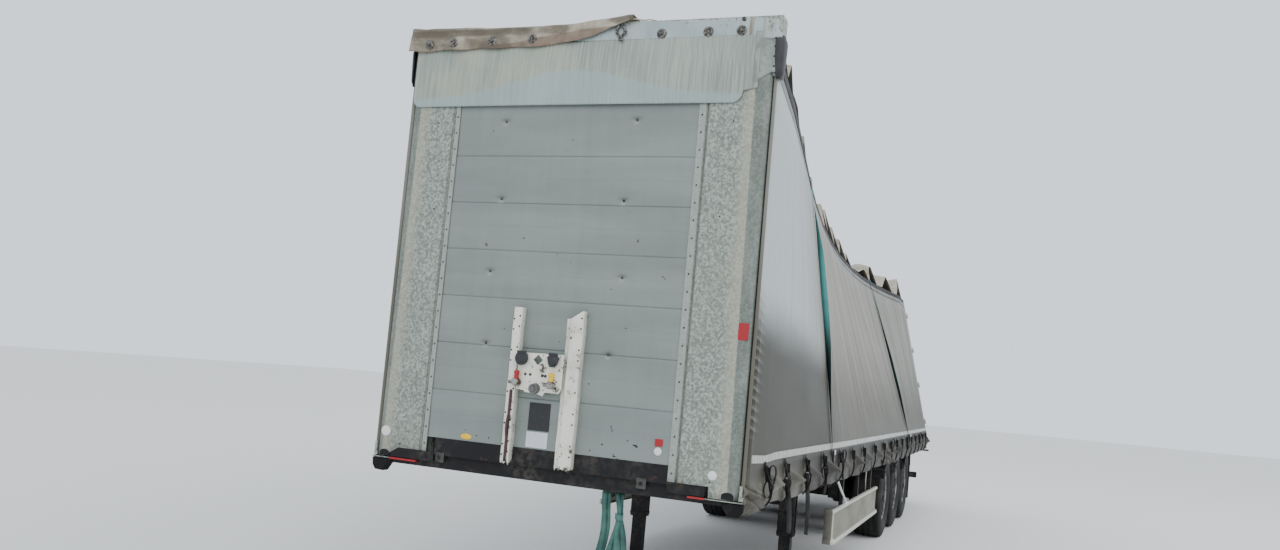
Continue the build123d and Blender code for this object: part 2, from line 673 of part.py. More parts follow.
def leg_drive():
    """The cross shaft with the gearbox and the hand crank on the right-hand leg."""
    inner = LEG_CENTRE_Y - LEG_OUTER_Y / 2
    outer = LEG_CENTRE_Y + LEG_OUTER_Y / 2
    s, h = LEG_STATION, LEG_SHAFT_HEIGHT
    shaft = rod_y(LEG_SHAFT_R, -inner, inner, s, h)
    box = LEG_GEARBOX
    gearbox = box_between((s - box / 2, s + box / 2), (-outer - box, -outer), (h - box, h + box))
    arm_y = -outer - box - CRANK_R
    hub = rod_y(CRANK_R, arm_y - CRANK_R, -outer - box, s, h)
    arm = rod_x(CRANK_R, s, s + CRANK_THROW, arm_y, h)
    grip = rod_y(CRANK_R, arm_y - CRANK_GRIP, arm_y + CRANK_R / 2, s + CRANK_THROW, h)
    return shaft, gearbox + hub + arm + grip


def axle(station):
    """A square axle tube with spindles, brake back plates and brake chambers."""
    h = TYRE_R
    half = AXLE_TUBE / 2
    tube = (-AXLE_TUBE_HALF, AXLE_TUBE_HALF)
    shape = box_between((station - half, station + half), tube, (h - half, h + half))
    plate = rod_y(DRUM_R - DRUM_T, AXLE_TUBE_HALF, DISC_Y - DRUM_LENGTH - BACK_PLATE_GAP, station, h)
    spindle = rod_y(SPINDLE_R, AXLE_TUBE_HALF, DISC_Y + SPINDLE_END, station, h)
    chamber_front = station - half - CHAMBER_GAP - CHAMBER_LENGTH
    chamber_height = h + CHAMBER_LIFT
    chamber = rod_x(CHAMBER_R, chamber_front, chamber_front + CHAMBER_LENGTH, CHAMBER_Y, chamber_height)
    stem = rod_x(CHAMBER_R / 2, chamber_front + CHAMBER_LENGTH, station - half, CHAMBER_Y, chamber_height)
    end = plate + spindle + chamber + stem
    return shape + end + mirrored(end)


def hangers():
    """Brackets under the beams that hold the trailing arms' front pins."""
    shapes = []
    centre = BEAM_CENTRE_Y
    half = HANGER_WIDTH / 2
    foot = PIVOT_HEIGHT - ARM_EYE_R - HANGER_SKIRT
    for station in AXLE_STATIONS:
        s = station - HANGER_LEAD
        front, back = s - HANGER_LENGTH / 2, s + HANGER_LENGTH / 2
        shape = box_between((front, back), (centre - half, centre + half), (foot, BEAM_FOOT_HEIGHT))
        slot_half = half - HANGER_WALL
        shape -= box_between(
            (front + HANGER_WALL, back + 1), (centre - slot_half, centre + slot_half),
            (foot - 1, BEAM_FOOT_HEIGHT - HANGER_WALL),
        )
        shape += rod_y(ARM_PIN_R, centre - slot_half, centre + slot_half, s, PIVOT_HEIGHT)
        shapes += [shape, mirrored(shape)]
    return shapes


def trailing_arms():
    """Arms from the hangers, under the axles, back to the air bellows."""
    shapes = []
    centre = BEAM_CENTRE_Y
    half = ARM_WIDTH / 2
    seat = TYRE_R - AXLE_TUBE / 2
    for station in AXLE_STATIONS:
        s = station - HANGER_LEAD
        outline = [
            (s, PIVOT_HEIGHT - ARM_NOSE), (s, PIVOT_HEIGHT + ARM_NOSE), (station - AXLE_TUBE, seat),
            (station + ARM_TAIL, seat), (station + ARM_TAIL, seat - ARM_DEPTH / 2),
            (station + AXLE_TUBE, seat - ARM_DEPTH), (station - AXLE_TUBE, seat - ARM_DEPTH),
        ]
        shape = side_plate(outline, centre - half, centre + half)
        shape += rod_y(ARM_EYE_R, centre - half, centre + half, s, PIVOT_HEIGHT)
        shape -= rod_y(ARM_PIN_R + SEAT_GAP, centre - half - 1, centre + half + 1, s, PIVOT_HEIGHT)
        shapes += [shape, mirrored(shape)]
    return shapes


def air_bellows():
    """Rolled air springs between the arms' tails and the beams."""
    shapes = []
    seat = TYRE_R - AXLE_TUBE / 2
    for station in AXLE_STATIONS:
        s = station + ARM_TAIL - BELLOWS_NECK_R
        bulge = seat + (BEAM_FOOT_HEIGHT - seat) * 0.4
        shape = rod_z(BELLOWS_NECK_R, seat, bulge, s, BEAM_CENTRE_Y)
        shape += rod_z(BELLOWS_R, bulge, BEAM_FOOT_HEIGHT, s, BEAM_CENTRE_Y)
        shapes += [shape, mirrored(shape)]
    return shapes


def turned(outline, station, side):
    """A ring turned about a wheel's axle, from (distance in from the tyre's outer face, radius) points."""
    points = [(along(station), side * (TYRE_OUTER_Y - inset), up(TYRE_R) + r) for inset, r in outline]
    face = Face(Wire.make_polygon(points))
    return revolve(face, Axis((along(station), 0, up(TYRE_R)), (0, 1, 0)))


def tyre(station, side):
    """A hollow tyre with a flat tread, round-shouldered walls and beads."""
    shoulder = (TYRE_WIDTH - TYRE_TREAD_WIDTH) / 2
    bead = (TYRE_WIDTH - TYRE_BEAD_WIDTH) / 2
    t = TYRE_WALL
    mid_r = (TYRE_R + TYRE_BEAD_R) / 2
    far = TYRE_WIDTH
    lip = RIM_FLANGE_R + TYRE_LIP
    cheek_r, shoulder_r = TYRE_BEAD_R + TYRE_CHEEK, TYRE_R - TYRE_CHEEK
    outer = [
        (bead, TYRE_BEAD_R), (bead, lip), (bead / 3, cheek_r), (0, mid_r), (TYRE_CURVE, shoulder_r),
        (shoulder, TYRE_R - TYRE_CROWN), (shoulder + TYRE_EDGE, TYRE_R), (far - shoulder - TYRE_EDGE, TYRE_R),
        (far - shoulder, TYRE_R - TYRE_CROWN), (far - TYRE_CURVE, shoulder_r), (far, mid_r),
        (far - bead / 3, cheek_r), (far - bead, lip), (far - bead, TYRE_BEAD_R),
    ]
    inner = [
        (far - bead - t, TYRE_BEAD_R), (far - bead / 3 - t, cheek_r), (far - t, mid_r),
        (far - shoulder, TYRE_R - 3 * t), (shoulder, TYRE_R - 3 * t), (t, mid_r),
        (bead / 3 + t, cheek_r), (bead + t, TYRE_BEAD_R),
    ]
    return turned(outer + inner, station, side)


def rim(station, side):
    """A dished rim with hand holes, its hub, cap and brake drum, bored for the spindle."""
    bead = (TYRE_WIDTH - TYRE_BEAD_WIDTH) / 2
    flange = bead - RIM_LIP
    seat_r = TYRE_BEAD_R - SEAT_GAP
    far = TYRE_WIDTH
    t = RIM_T
    well = RIM_WELL
    face = RIM_DISC_SETBACK
    skin_r, lip_r, toe = seat_r - t, RIM_FLANGE_R - RIM_LIP_T, flange + RIM_LIP - 1
    barrel = [
        (flange, RIM_FLANGE_R), (flange, lip_r), (flange + RIM_LIP, skin_r), (face, skin_r),
        (face, seat_r - well), (face + 2 * well, seat_r - well), (face + 3 * well, skin_r),
        (far - flange - RIM_LIP, skin_r), (far - flange, lip_r), (far - flange, RIM_FLANGE_R),
        (far - toe + 1, RIM_FLANGE_R), (far - toe, seat_r), (face + 3 * well, seat_r),
        (face + 2 * well, skin_r - well + 2 * t), (face + t, skin_r - well + 2 * t), (face, seat_r),
        (toe, seat_r), (toe - 1, RIM_FLANGE_R),
    ]
    bore = SPINDLE_R + RUNNING_FIT
    shape = turned(barrel, station, side)
    disc_back = face + RIM_DISC_T
    disc = [(face, bore), (face, seat_r - well), (disc_back, seat_r - well), (disc_back, bore)]
    shape += turned(disc, station, side)
    ring_y = side * (TYRE_OUTER_Y - face - RIM_DISC_T / 2)
    hole = Rot(90, 0, 0) * Cylinder(HAND_HOLE_R, 2 * RIM_DISC_T)
    for index in range(HAND_HOLE_COUNT):
        angle = 2 * pi * (index + 0.5) / HAND_HOLE_COUNT
        x = along(station) + HAND_HOLE_CIRCLE_R * cos(angle)
        shape -= Pos(x, ring_y, up(TYRE_R) + HAND_HOLE_CIRCLE_R * sin(angle)) * hole
    hub_face = face - HUB_STAND
    cap_face = hub_face - HUB_CAP_LENGTH
    hub = [
        (hub_face, 0), (hub_face, HUB_R), (face + DRUM_LENGTH, HUB_R), (face + DRUM_LENGTH, bore),
        (hub_face + HUB_END_T, bore), (hub_face + HUB_END_T, 0),
    ]
    cap = [(cap_face, 0), (cap_face, HUB_CAP_R), (hub_face, HUB_CAP_R), (hub_face, 0)]
    drum = [
        (face + RIM_DISC_T, HUB_R - 1), (face + RIM_DISC_T, DRUM_R), (face + DRUM_LENGTH, DRUM_R),
        (face + DRUM_LENGTH, DRUM_R - DRUM_T), (face + RIM_DISC_T + DRUM_T, DRUM_R - DRUM_T),
        (face + RIM_DISC_T + DRUM_T, HUB_R - 1),
    ]
    for outline in (hub, cap, drum):
        shape += turned(outline, station, side)
    return shape


def mudguards():
    """Plastic arches over the tyres on stays from the beams."""
    shapes = []
    inner_r = TYRE_R + GUARD_CLEARANCE
    low, high = TYRE_CENTRE_Y - GUARD_WIDTH / 2, TYRE_CENTRE_Y + GUARD_WIDTH / 2
    for station in AXLE_STATIONS:
        arch = rod_y(inner_r + GUARD_T, low, high, station, TYRE_R)
        arch -= rod_y(inner_r, low - 1, high + 1, station, TYRE_R)
        reach = inner_r + GUARD_T + 1
        cut_height = TYRE_R + inner_r * cos(radians(GUARD_HALF_ANGLE))
        below = (TYRE_R - reach, cut_height)
        arch -= box_between((station - reach, station + reach), (low - 1, high + 1), below)
        stay_r = inner_r + GUARD_T + STAY_R - STAY_SINK
        stay_station = station - stay_r * sin(radians(STAY_ANGLE))
        stay_height = TYRE_R + stay_r * cos(radians(STAY_ANGLE))
        web_y = BEAM_CENTRE_Y + BEAM_WEB_T / 2
        arch += rod_y(STAY_R, web_y, high, stay_station, stay_height)
        shapes += [arch, mirrored(arch)]
    return shapes


def spray_flaps():
    """The rubber flaps behind the last wheels, hung from the outriggers' line."""
    low = TYRE_CENTRE_Y - TYRE_WIDTH / 2
    web_y = BEAM_CENTRE_Y + BEAM_WEB_T / 2
    s, foot, top = SPRAY_FLAP_STATION, SPRAY_FLAP_FOOT_HEIGHT, SPRAY_FLAP_TOP_HEIGHT
    shape = box_between((s, s + SPRAY_FLAP_T), (low, TYRE_OUTER_Y), (foot, top))
    shape += rod_y(STAY_R, web_y, TYRE_OUTER_Y, s + SPRAY_FLAP_T / 2, top)
    return shape, mirrored(shape)


def side_guard(side):
    """The deep cream panel between the legs and the wheels, folded in at its edges and its front end."""
    s0 = SIDE_GUARD_LEFT_START if side > 0 else SIDE_GUARD_RIGHT_START
    s1 = SIDE_GUARD_END
    y, t = HALF_WIDTH - SIDE_GUARD_INSET, SIDE_GUARD_T
    low, high = SIDE_GUARD_FOOT_HEIGHT, SIDE_GUARD_TOP_HEIGHT
    lip, arm = SIDE_GUARD_LIP, SIDE_GUARD_ARM
    shape = box_between((s0, s1), (y - t, y), (low, high))
    shape += box_between((s0, s1), (y - lip, y), (high - t, high))
    shape += box_between((s0, s1), (y - lip, y), (low, low + t))
    shape += box_between((s0, s0 + t), (y - SIDE_GUARD_RETURN, y), (low, high))
    top = FLOOR_HEIGHT - RAVE_DEPTH
    for index in range(SIDE_GUARD_BRACKETS):
        s = s0 + (s1 - s0) * (index + 0.5) / SIDE_GUARD_BRACKETS
        shape += box_between((s - arm / 2, s + arm / 2), (y - t - lip, y - t), (low + t, top))
    return shape if side > 0 else mirrored(shape)


def air_tank():
    """A reservoir slung under the cross members."""
    s0, s1 = cross_station(TANK_BEARER), cross_station(TANK_BEARER + 1)
    h = BEAM_FOOT_HEIGHT + TANK_R + TANK_LIFT
    top = DECK_FOOT_HEIGHT - CROSS_DEPTH
    tank = rod_x(TANK_R, s0 - TANK_OVERHANG, s1 + TANK_OVERHANG, 0, h)
    for s in (s0, s1):
        tank += box_between((s - TANK_STRAP / 2, s + TANK_STRAP / 2), (-TANK_STRAP, TANK_STRAP), (h, top))
    return tank


def rear_sill():
    """The sill across the rear, under the portal and its doors."""
    face = RAVE_FACE
    return box_between((BEAM_END, BODY_LENGTH), (-face, face), (FLOOR_HEIGHT - SILL_DEPTH, FLOOR_HEIGHT))


def hinge_place(side, rise):
    """The place and tilt of a hinge's middle on the leaning post."""
    point = leaning(HINGE_STATION, side * HINGE_Y, rise)
    return Pos(point.X, point.Y, point.Z) * Rot(REAR_LEAN_DEG, 0, 0)


def portal_post(side):
    """A leaning rear post with the lugs and pins of the door's hinges."""
    def section(station):
        outer, inner = side * RAVE_FACE, side * (RAVE_FACE - PORTAL_POST_WIDTH)
        return [(inner, 0), (outer, 0), (outer, RAIL_FOOT), (inner, RAIL_FOOT)]

    shape = Part() + leaning_loft([BEAM_END, BODY_LENGTH], section)
    reach = HINGE_STATION - BODY_LENGTH
    width = DOOR_EDGE - LUG_CLEARANCE - SEAT_GAP
    for share in HINGE_SHARES:
        knuckle = Cylinder(HINGE_R, HINGE_KNUCKLE)
        lug = Pos(reach / 2, -side * (HINGE_OUTSET + width / 2), 0) * Box(reach, width, HINGE_KNUCKLE)
        tongue = Box(HINGE_R * 2, HINGE_OUTSET + width, HINGE_KNUCKLE)
        tongue = Pos(0, -side * (HINGE_OUTSET + width) / 2, 0) * tongue
        pin = Pos(0, 0, HINGE_KNUCKLE) * Cylinder(HINGE_PIN_R, HINGE_KNUCKLE * 2)
        shape += hinge_place(side, RAIL_FOOT * share) * (knuckle + lug + tongue + pin)
    return shape


def portal_header():
    """The beam that joins the rear posts' tops and the cant rails."""
    def section(station):
        edge, low, high = RAVE_FACE, RAIL_FOOT, RAIL_TOP
        return [(-edge, low), (edge, low), (edge, high), (-edge, high)]

    return leaning_loft([BEAM_END, BODY_LENGTH], section)


def door(side):
    """A racked door leaf with its hinge arms, lock rods, guides and handle."""
    outer = side * (RAVE_FACE - DOOR_EDGE)
    inner = side * DOOR_MEETING_GAP / 2
    foot, head = -DOOR_SILL_LAP, RAIL_FOOT + DOOR_HEADER_LAP
    slope = sin(radians(REAR_LEAN_DEG))
    climb = cos(radians(REAR_LEAN_DEG))

    def place(station, y, rise):
        return Vector(along(station), y - rise * slope, up(FLOOR_HEIGHT) + rise * climb)

    outline = [(inner, foot), (outer, foot), (outer, head), (inner, head)]
    corners = [place(DOOR_REAR, y, rise) for y, rise in outline]
    shape = extrude(Face(Wire.make_polygon(corners)), DOOR_T, dir=(1, 0, 0))
    lift = HINGE_KNUCKLE + SEAT_GAP
    cheek_y = HINGE_ARM / 2 - HINGE_CHEEK_INSET
    strap_y = HINGE_ARM / 2 + HINGE_ARM_OFFSET
    for share in HINGE_SHARES:
        knuckle = Cylinder(HINGE_R, HINGE_KNUCKLE)
        strap = Box(HINGE_ARM_T, HINGE_ARM, HINGE_KNUCKLE)
        strap = Pos(HINGE_SETBACK - HINGE_ARM_T / 2, -side * strap_y, 0) * strap
        cheek = Box(HINGE_SETBACK + HINGE_R, HINGE_ARM_T, HINGE_KNUCKLE)
        cheek = Pos((HINGE_SETBACK - HINGE_R) / 2, -side * cheek_y, 0) * cheek
        link = Box(HINGE_R, cheek_y + HINGE_ARM_T, HINGE_KNUCKLE)
        link = Pos(-HINGE_R / 2, -side * cheek_y / 2, 0) * link
        hinge = knuckle + strap + cheek + link - Cylinder(HINGE_PIN_R + RUNNING_FIT, HINGE_KNUCKLE + 2)
        shape += hinge_place(side, RAIL_FOOT * share) * Pos(0, 0, lift) * hinge
    tilt = Rot(REAR_LEAN_DEG, 0, 0)
    rod_station = DOOR_REAR + ROD_STAND
    guide = Box(ROD_STAND + ROD_R, ROD_GUIDE_WIDTH, ROD_GUIDE_DEPTH)
    for inset in ROD_INSETS:
        y = inner + side * inset
        point = place(rod_station, y, (head + foot) / 2)
        shape += Pos(point.X, point.Y, point.Z) * tilt * Cylinder(ROD_R, head - foot - ROD_SHORT)
        for share in ROD_GUIDE_SHARES:
            point = place(DOOR_REAR + (ROD_STAND + ROD_R) / 2, y, RAIL_FOOT * share)
            shape += Pos(point.X, point.Y, point.Z) * tilt * guide
    point = place(rod_station, inner + side * ROD_INSETS[0], ROD_HANDLE_HEIGHT)
    handle = Pos(0, side * ROD_HANDLE / 2, 0) * Box(ROD_HANDLE_T, ROD_HANDLE, ROD_HANDLE_DEPTH)
    return shape + Pos(point.X, point.Y, point.Z) * tilt * handle


def pillars():
    """Middle pillars that stand on the raves and carry the cant rails."""
    shapes = []
    for station in PILLAR_STATIONS:
        for _, side in SIDES:
            outer, inner = side * (RAVE_FACE - SEAT_GAP), side * (RAVE_FACE - PILLAR_WIDTH)

            def section(at):
                return [(inner, 0), (outer, 0), (outer, RAIL_FOOT), (inner, RAIL_FOOT)]

            stations = bays_between(station - PILLAR_LENGTH / 2, station + PILLAR_LENGTH / 2)
            shapes.append(leaning_loft(stations, section))
    return shapes


def cant_rail(side):
    """The long rail under the roof's edge, a track that is open below."""
    outer, inner = side * RAVE_FACE, side * (RAVE_FACE - RAIL_WIDTH)
    skin_out, skin_in, under = outer - side * RAIL_T, inner + side * RAIL_T, RAIL_TOP - RAIL_T

    def section(station):
        return [
            (outer, RAIL_FOOT), (outer, RAIL_TOP), (inner, RAIL_TOP), (inner, RAIL_FOOT),
            (skin_in, RAIL_FOOT), (skin_in, under), (skin_out, under), (skin_out, RAIL_FOOT),
        ]

    return leaning_loft(bays_between(POST_DEPTH, BEAM_END), section)


def curtain(name, side):
    """The taut side curtain, from its hem below the rave to the cant rail."""
    inner, outer = side * (RAVE_FACE + SEAT_GAP), side * HALF_WIDTH
    end = BODY_LENGTH - PORTAL_LENGTH / 3
    front_hem, rear_hem = HEMS[name]

    def section(station):
        share = (station - CURTAIN_START) / (end - CURTAIN_START)
        hem = front_hem + (rear_hem - front_hem) * share - FLOOR_HEIGHT
        top = RAIL_FOOT + CURTAIN_LAP
        return [(inner, hem), (outer, hem), (outer, 0), (outer, top), (inner, top), (inner, 0)]

    return leaning_loft(bays_between(CURTAIN_START, end), section)


def tension_poles():
    """Poles in the curtains' ends. The front ones stand on the front sill, under the posts' shoulders."""
    shapes = []
    front_y = RAVE_FACE - POLE_GAP - FRONT_POLE_R
    front_rise = (POST_FOOT_HEIGHT - FLOOR_HEIGHT + SEAT_GAP, SHOULDER_RISE - SEAT_GAP)
    rear_y = RAVE_FACE - RAIL_WIDTH / 2
    rear_rise = (SEAT_GAP, RAIL_FOOT - POLE_GAP)
    for station, y, r, (low, high) in (
        (FRONT_POLE_STATION, front_y, FRONT_POLE_R, front_rise),
        (BEAM_END - POLE_INSET, rear_y, POLE_R, rear_rise),
    ):
        for _, side in SIDES:
            foot = leaning(station, side * y, low)
            head = leaning(station, side * y, high)
            middle = (foot + head) * 0.5
            tilt = asin((foot.Y - head.Y) / (head - foot).length)
            pole = Cylinder(r, (head - foot).length - 2 * r * sin(tilt))
            shapes.append(Pos(middle.X, middle.Y, middle.Z) * Rot(degrees(tilt), 0, 0) * pole)
    return shapes


def roof_bows():
    """Bows that join the cant rails under the roof."""
    shapes = []
    first, last = BOW_START, BEAM_END - BOW_END_INSET
    for index in range(BOW_COUNT):
        station = first + (last - first) * index / (BOW_COUNT - 1)
        edge = RAVE_FACE - RAIL_WIDTH - SEAT_GAP

        def section(at):
            top, foot = RAIL_TOP, RAIL_TOP - BOW_DEPTH
            return [(-edge, foot), (edge, foot), (edge, top), (-edge, top)]

        shapes.append(leaning_loft(bays_between(station - BOW_WIDTH / 2, station + BOW_WIDTH / 2), section))
    return shapes


def roof_tarp():
    """The slack roof sheet, thrown into cross folds where the body has leaned."""
    end = BODY_LENGTH
    table = TARP_FOLDS + [(end, 0.0)]

    def rise_at(station):
        for (near, low), (far, high) in zip(table, table[1:]):
            if near <= station <= far:
                return low + (high - low) * (station - near) / (far - near)

    bends = [s for s in BAY_STATIONS if table[0][0] < s < end]
    stations = sorted(set([s for s, _ in table] + bends))

    def section(station):
        edge, low = RAVE_FACE, RAIL_TOP + SEAT_GAP + rise_at(station)
        high = low + TARP_T
        return [(-edge, low), (edge, low), (edge, high), (-edge, high)]

    return leaning_loft(stations, section)


def underrun_bar():
    """The bar across the rear below the sill, on two arms from the beams."""
    s = BODY_LENGTH - UNDERRUN_SETBACK
    low, high = UNDERRUN_HEIGHT - UNDERRUN_DEPTH / 2, UNDERRUN_HEIGHT + UNDERRUN_DEPTH / 2
    shape = box_between((s, s + UNDERRUN_T), (-UNDERRUN_HALF, UNDERRUN_HALF), (low, high))
    for side in (1, -1):
        y = side * BEAM_CENTRE_Y
        arm = (y - UNDERRUN_ARM_Y / 2, y + UNDERRUN_ARM_Y / 2)
        shape += box_between((s - UNDERRUN_ARM_X, s), arm, (low, BEAM_FOOT_HEIGHT))
    return shape


def rear_lamps():
    """Lamp clusters under the sill and the side lamps on rubber arms."""
    s = BODY_LENGTH - LAMP_SETBACK
    top = FLOOR_HEIGHT - SILL_DEPTH
    outer = RAVE_FACE - LAMP_INSET
    shape = box_between((s - LAMP_T, s), (outer - LAMP_WIDTH, outer), (top - LAMP_DEPTH, top))
    arm_y = RAVE_FACE - SIDE_LAMP_INSET
    arm = (arm_y - SIDE_LAMP_ARM_Y / 2, arm_y + SIDE_LAMP_ARM_Y / 2)
    lamp = box_between((s - SIDE_LAMP_ARM_X, s), arm, (top - SIDE_LAMP_DROP - SIDE_LAMP_R, top))
    axis_station = s - SIDE_LAMP_ARM_X / 3
    lamp += rod_y(SIDE_LAMP_R, arm_y, RAVE_FACE + SIDE_LAMP_REACH, axis_station, top - SIDE_LAMP_DROP)
    return shape, mirrored(shape), lamp, mirrored(lamp)


save("kingpin", kingpin())
save("coupling_plate", coupling_plate())
save("cross_members", *cross_members())
save("deck", deck())
save("front_beam", front_beam())
save("front_panel", front_panel())
save("front_header", front_header())
save("header_flap", header_flap())
save("corner_caps", corner_cap(1), corner_cap(-1))
save("connector_bracket", connector_bracket())
save("couplings", *couplings())
save("leg_drive", *leg_drive())
save("hangers", *hangers())
save("trailing_arms", *trailing_arms())
save("air_bellows", *air_bellows())
save("mudguards", *mudguards())
save("spray_flaps", *spray_flaps())
save("air_tank", air_tank())
save("rear_sill", rear_sill())
save("portal_header", portal_header())
save("pillars", *pillars())
save("tension_poles", *tension_poles())
save("roof_bows", *roof_bows())
save("roof_tarp", roof_tarp())
save("underrun_bar", underrun_bar())
save("rear_lamps", *rear_lamps())
save("side_raves", side_rave(1), side_rave(-1))
save("side_guards", side_guard(1), side_guard(-1))
save("cant_rails", cant_rail(1), cant_rail(-1))
save("axles", *[axle(station) for station in AXLE_STATIONS])
for name, side in SIDES:
    save("beam_" + name, beam(side))
    save("front_post_" + name, front_post(side))
    save("landing_leg_" + name, landing_leg(side))
    save("portal_post_" + name, portal_post(side))
    save("door_" + name, door(side))
    save("curtain_" + name, curtain(name, side))
for number, station in enumerate(AXLE_STATIONS, start=1):
    for name, side in SIDES:
        save("tyre_" + str(number) + "_" + name, tyre(station, side))
        save("rim_" + str(number) + "_" + name, rim(station, side))
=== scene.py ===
import bpy
import bmesh
import numpy as np
from mathutils import Matrix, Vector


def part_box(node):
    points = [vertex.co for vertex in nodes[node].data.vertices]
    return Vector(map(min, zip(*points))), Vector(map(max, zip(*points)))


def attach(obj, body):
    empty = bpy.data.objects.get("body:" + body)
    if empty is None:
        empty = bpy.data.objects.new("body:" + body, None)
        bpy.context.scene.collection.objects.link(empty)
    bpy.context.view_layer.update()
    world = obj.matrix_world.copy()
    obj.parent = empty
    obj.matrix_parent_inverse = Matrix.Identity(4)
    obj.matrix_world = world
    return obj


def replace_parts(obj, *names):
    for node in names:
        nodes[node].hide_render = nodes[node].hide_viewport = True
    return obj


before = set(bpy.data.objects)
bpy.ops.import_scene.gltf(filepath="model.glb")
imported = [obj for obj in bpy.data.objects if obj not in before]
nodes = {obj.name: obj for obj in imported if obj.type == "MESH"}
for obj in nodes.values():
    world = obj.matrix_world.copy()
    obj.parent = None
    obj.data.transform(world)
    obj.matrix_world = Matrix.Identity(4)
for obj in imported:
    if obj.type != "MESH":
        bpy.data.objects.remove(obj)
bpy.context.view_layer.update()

# ---------------------------------------------------------------- the view
# The camera stands off the trailer's front left corner, at eye height, and looks back along its side.
# The trailer stands on a plain pale floor in soft light.
GROUND = -1.082
camera = bpy.data.objects.new("view", bpy.data.cameras.new("view"))
right, down, ahead = (-0.34591, 0.93398, 0.08964), (-0.09548, 0.06, -0.99362), (-0.9334, -0.35226, 0.06842)
axes = Matrix((right, [-d for d in down], [-a for a in ahead])).transposed().to_4x4()
camera.matrix_world = Matrix.Translation((7.232, 2.660, 0.689)) @ axes
camera.data.lens, camera.data.sensor_width, camera.data.shift_y = 27.97, 36.0, 0.0286
camera.data.clip_end = 300
bpy.context.scene.collection.objects.link(camera)
bpy.context.scene.camera = camera

floor_mesh = bpy.data.meshes.new("floor")
floor_mesh.from_pydata([(-90, -70, GROUND), (60, -70, GROUND), (60, 70, GROUND), (-90, 70, GROUND)], [], [(0, 1, 2, 3)])
floor = bpy.data.objects.new("floor", floor_mesh)
bpy.context.scene.collection.objects.link(floor)
floor_paint = bpy.data.materials.new("floor")
floor_paint.use_nodes = True
floor_paint.node_tree.nodes["Principled BSDF"].inputs["Base Color"].default_value = (0.80, 0.79, 0.77, 1)
floor_paint.node_tree.nodes["Principled BSDF"].inputs["Roughness"].default_value = 0.9
floor_mesh.materials.append(floor_paint)

# Soft light as under a bright, overcast sky: a pale surround, one broad lamp high ahead and one to the side.
world = bpy.data.worlds.new("surround")
world.use_nodes = True
world.node_tree.nodes["Background"].inputs["Color"].default_value = (0.74, 0.80, 0.87, 1)
world.node_tree.nodes["Background"].inputs["Strength"].default_value = 1.6
bpy.context.scene.world = world
for name, place, aim, size, power in (
    ("lamp_ahead", (14, 7, 13), (-2, 0, 1), 12, 800), ("lamp_side", (-6, 18, 14), (-5, 0, 1), 16, 1300),
):
    lamp = bpy.data.objects.new(name, bpy.data.lights.new(name, "AREA"))
    lamp.data.size, lamp.data.energy = size, power
    back = np.subtract(place, aim) / np.linalg.norm(np.subtract(place, aim))
    side = np.cross((0, 0, 1), back) / np.linalg.norm(np.cross((0, 0, 1), back))
    lamp.matrix_world = Matrix.Translation(place) @ Matrix((side, np.cross(back, side), back)).transposed().to_4x4()
    bpy.context.scene.collection.objects.link(lamp)


# ---------------------------------------------------------------- chassis
# Welded steel: two I beams with a shallow neck, cross members, the front sill, hangers and the underrun bar,
# all brushed with black paint that has gone dull, dusty and rusty at its edges.
class Shade:
    """One output of a material's nodes. Arithmetic on it adds Math nodes, and node() adds any other node."""

    def __init__(self, tree, socket=None):
        self.tree, self.socket = tree, socket

    def node(self, kind, sockets=(), output=0, **settings):
        """Adds a node: its settings first, then the value or link of each socket."""
        made = self.tree.nodes.new(kind)
        for key, value in settings.items():
            setattr(made, key, value)
        for key, value in dict(sockets).items():
            if isinstance(value, Shade):
                self.tree.links.new(value.socket, made.inputs[key])
            else:
                made.inputs[key].default_value = value
        return Shade(self.tree, made.outputs[output])

    def maths(self, operation, *others):
        """A Math node of this value, followed by the others."""
        return self.node("ShaderNodeMath", enumerate((self, *others)), operation=operation)

    def __add__(self, other):
        return self.maths("ADD", other)

    def __mul__(self, other):
        return self.maths("MULTIPLY", other)

    def __sub__(self, other):
        return self.maths("SUBTRACT", other)

    def __rsub__(self, other):
        return self * -1.0 + other

    __radd__, __rmul__ = __add__, __mul__

    def clip(self, low, high):
        """0 below low, 1 above high, and a smooth step between them; low above high turns it round."""
        sockets = {"Value": self, "From Min": low, "From Max": high}
        return self.node("ShaderNodeMapRange", sockets, interpolation_type="SMOOTHSTEP")

    def near(self, value, far, close):
        """1 where this is within close of a value, and 0 from the distance far on."""
        return (self - value).maths("ABSOLUTE").clip(far, close)

    def between(self, first, second):
        """The colour first where this is 0, and second where it is 1."""
        first, second = ((*c, 1) if isinstance(c, tuple) else c for c in (first, second))
        return self.node("ShaderNodeMix", {0: self, 6: first, 7: second}, output=2, data_type="RGBA")

    def scaled(self, *scale):
        """This place scaled along each axis; the smaller a scale, the longer the pattern is drawn out that way."""
        return self.node("ShaderNodeMapping", {"Vector": self, "Scale": scale})

    def noise(self, scale, detail=3.0, roughness=0.55):
        """A cloudy pattern at this place, between 0 and 1 and mostly near 0.5."""
        sockets = {"Vector": self, "Scale": scale, "Detail": detail, "Roughness": roughness}
        return self.node("ShaderNodeTexNoise", sockets)

    def axis(self, index):
        """One of a vector's three values."""
        return self.node("ShaderNodeSeparateXYZ", {0: self}, output=index)

    def flat(self):
        """The piece's own UV map, whatever this is."""
        return self.node("ShaderNodeUVMap", uv_map="flat")


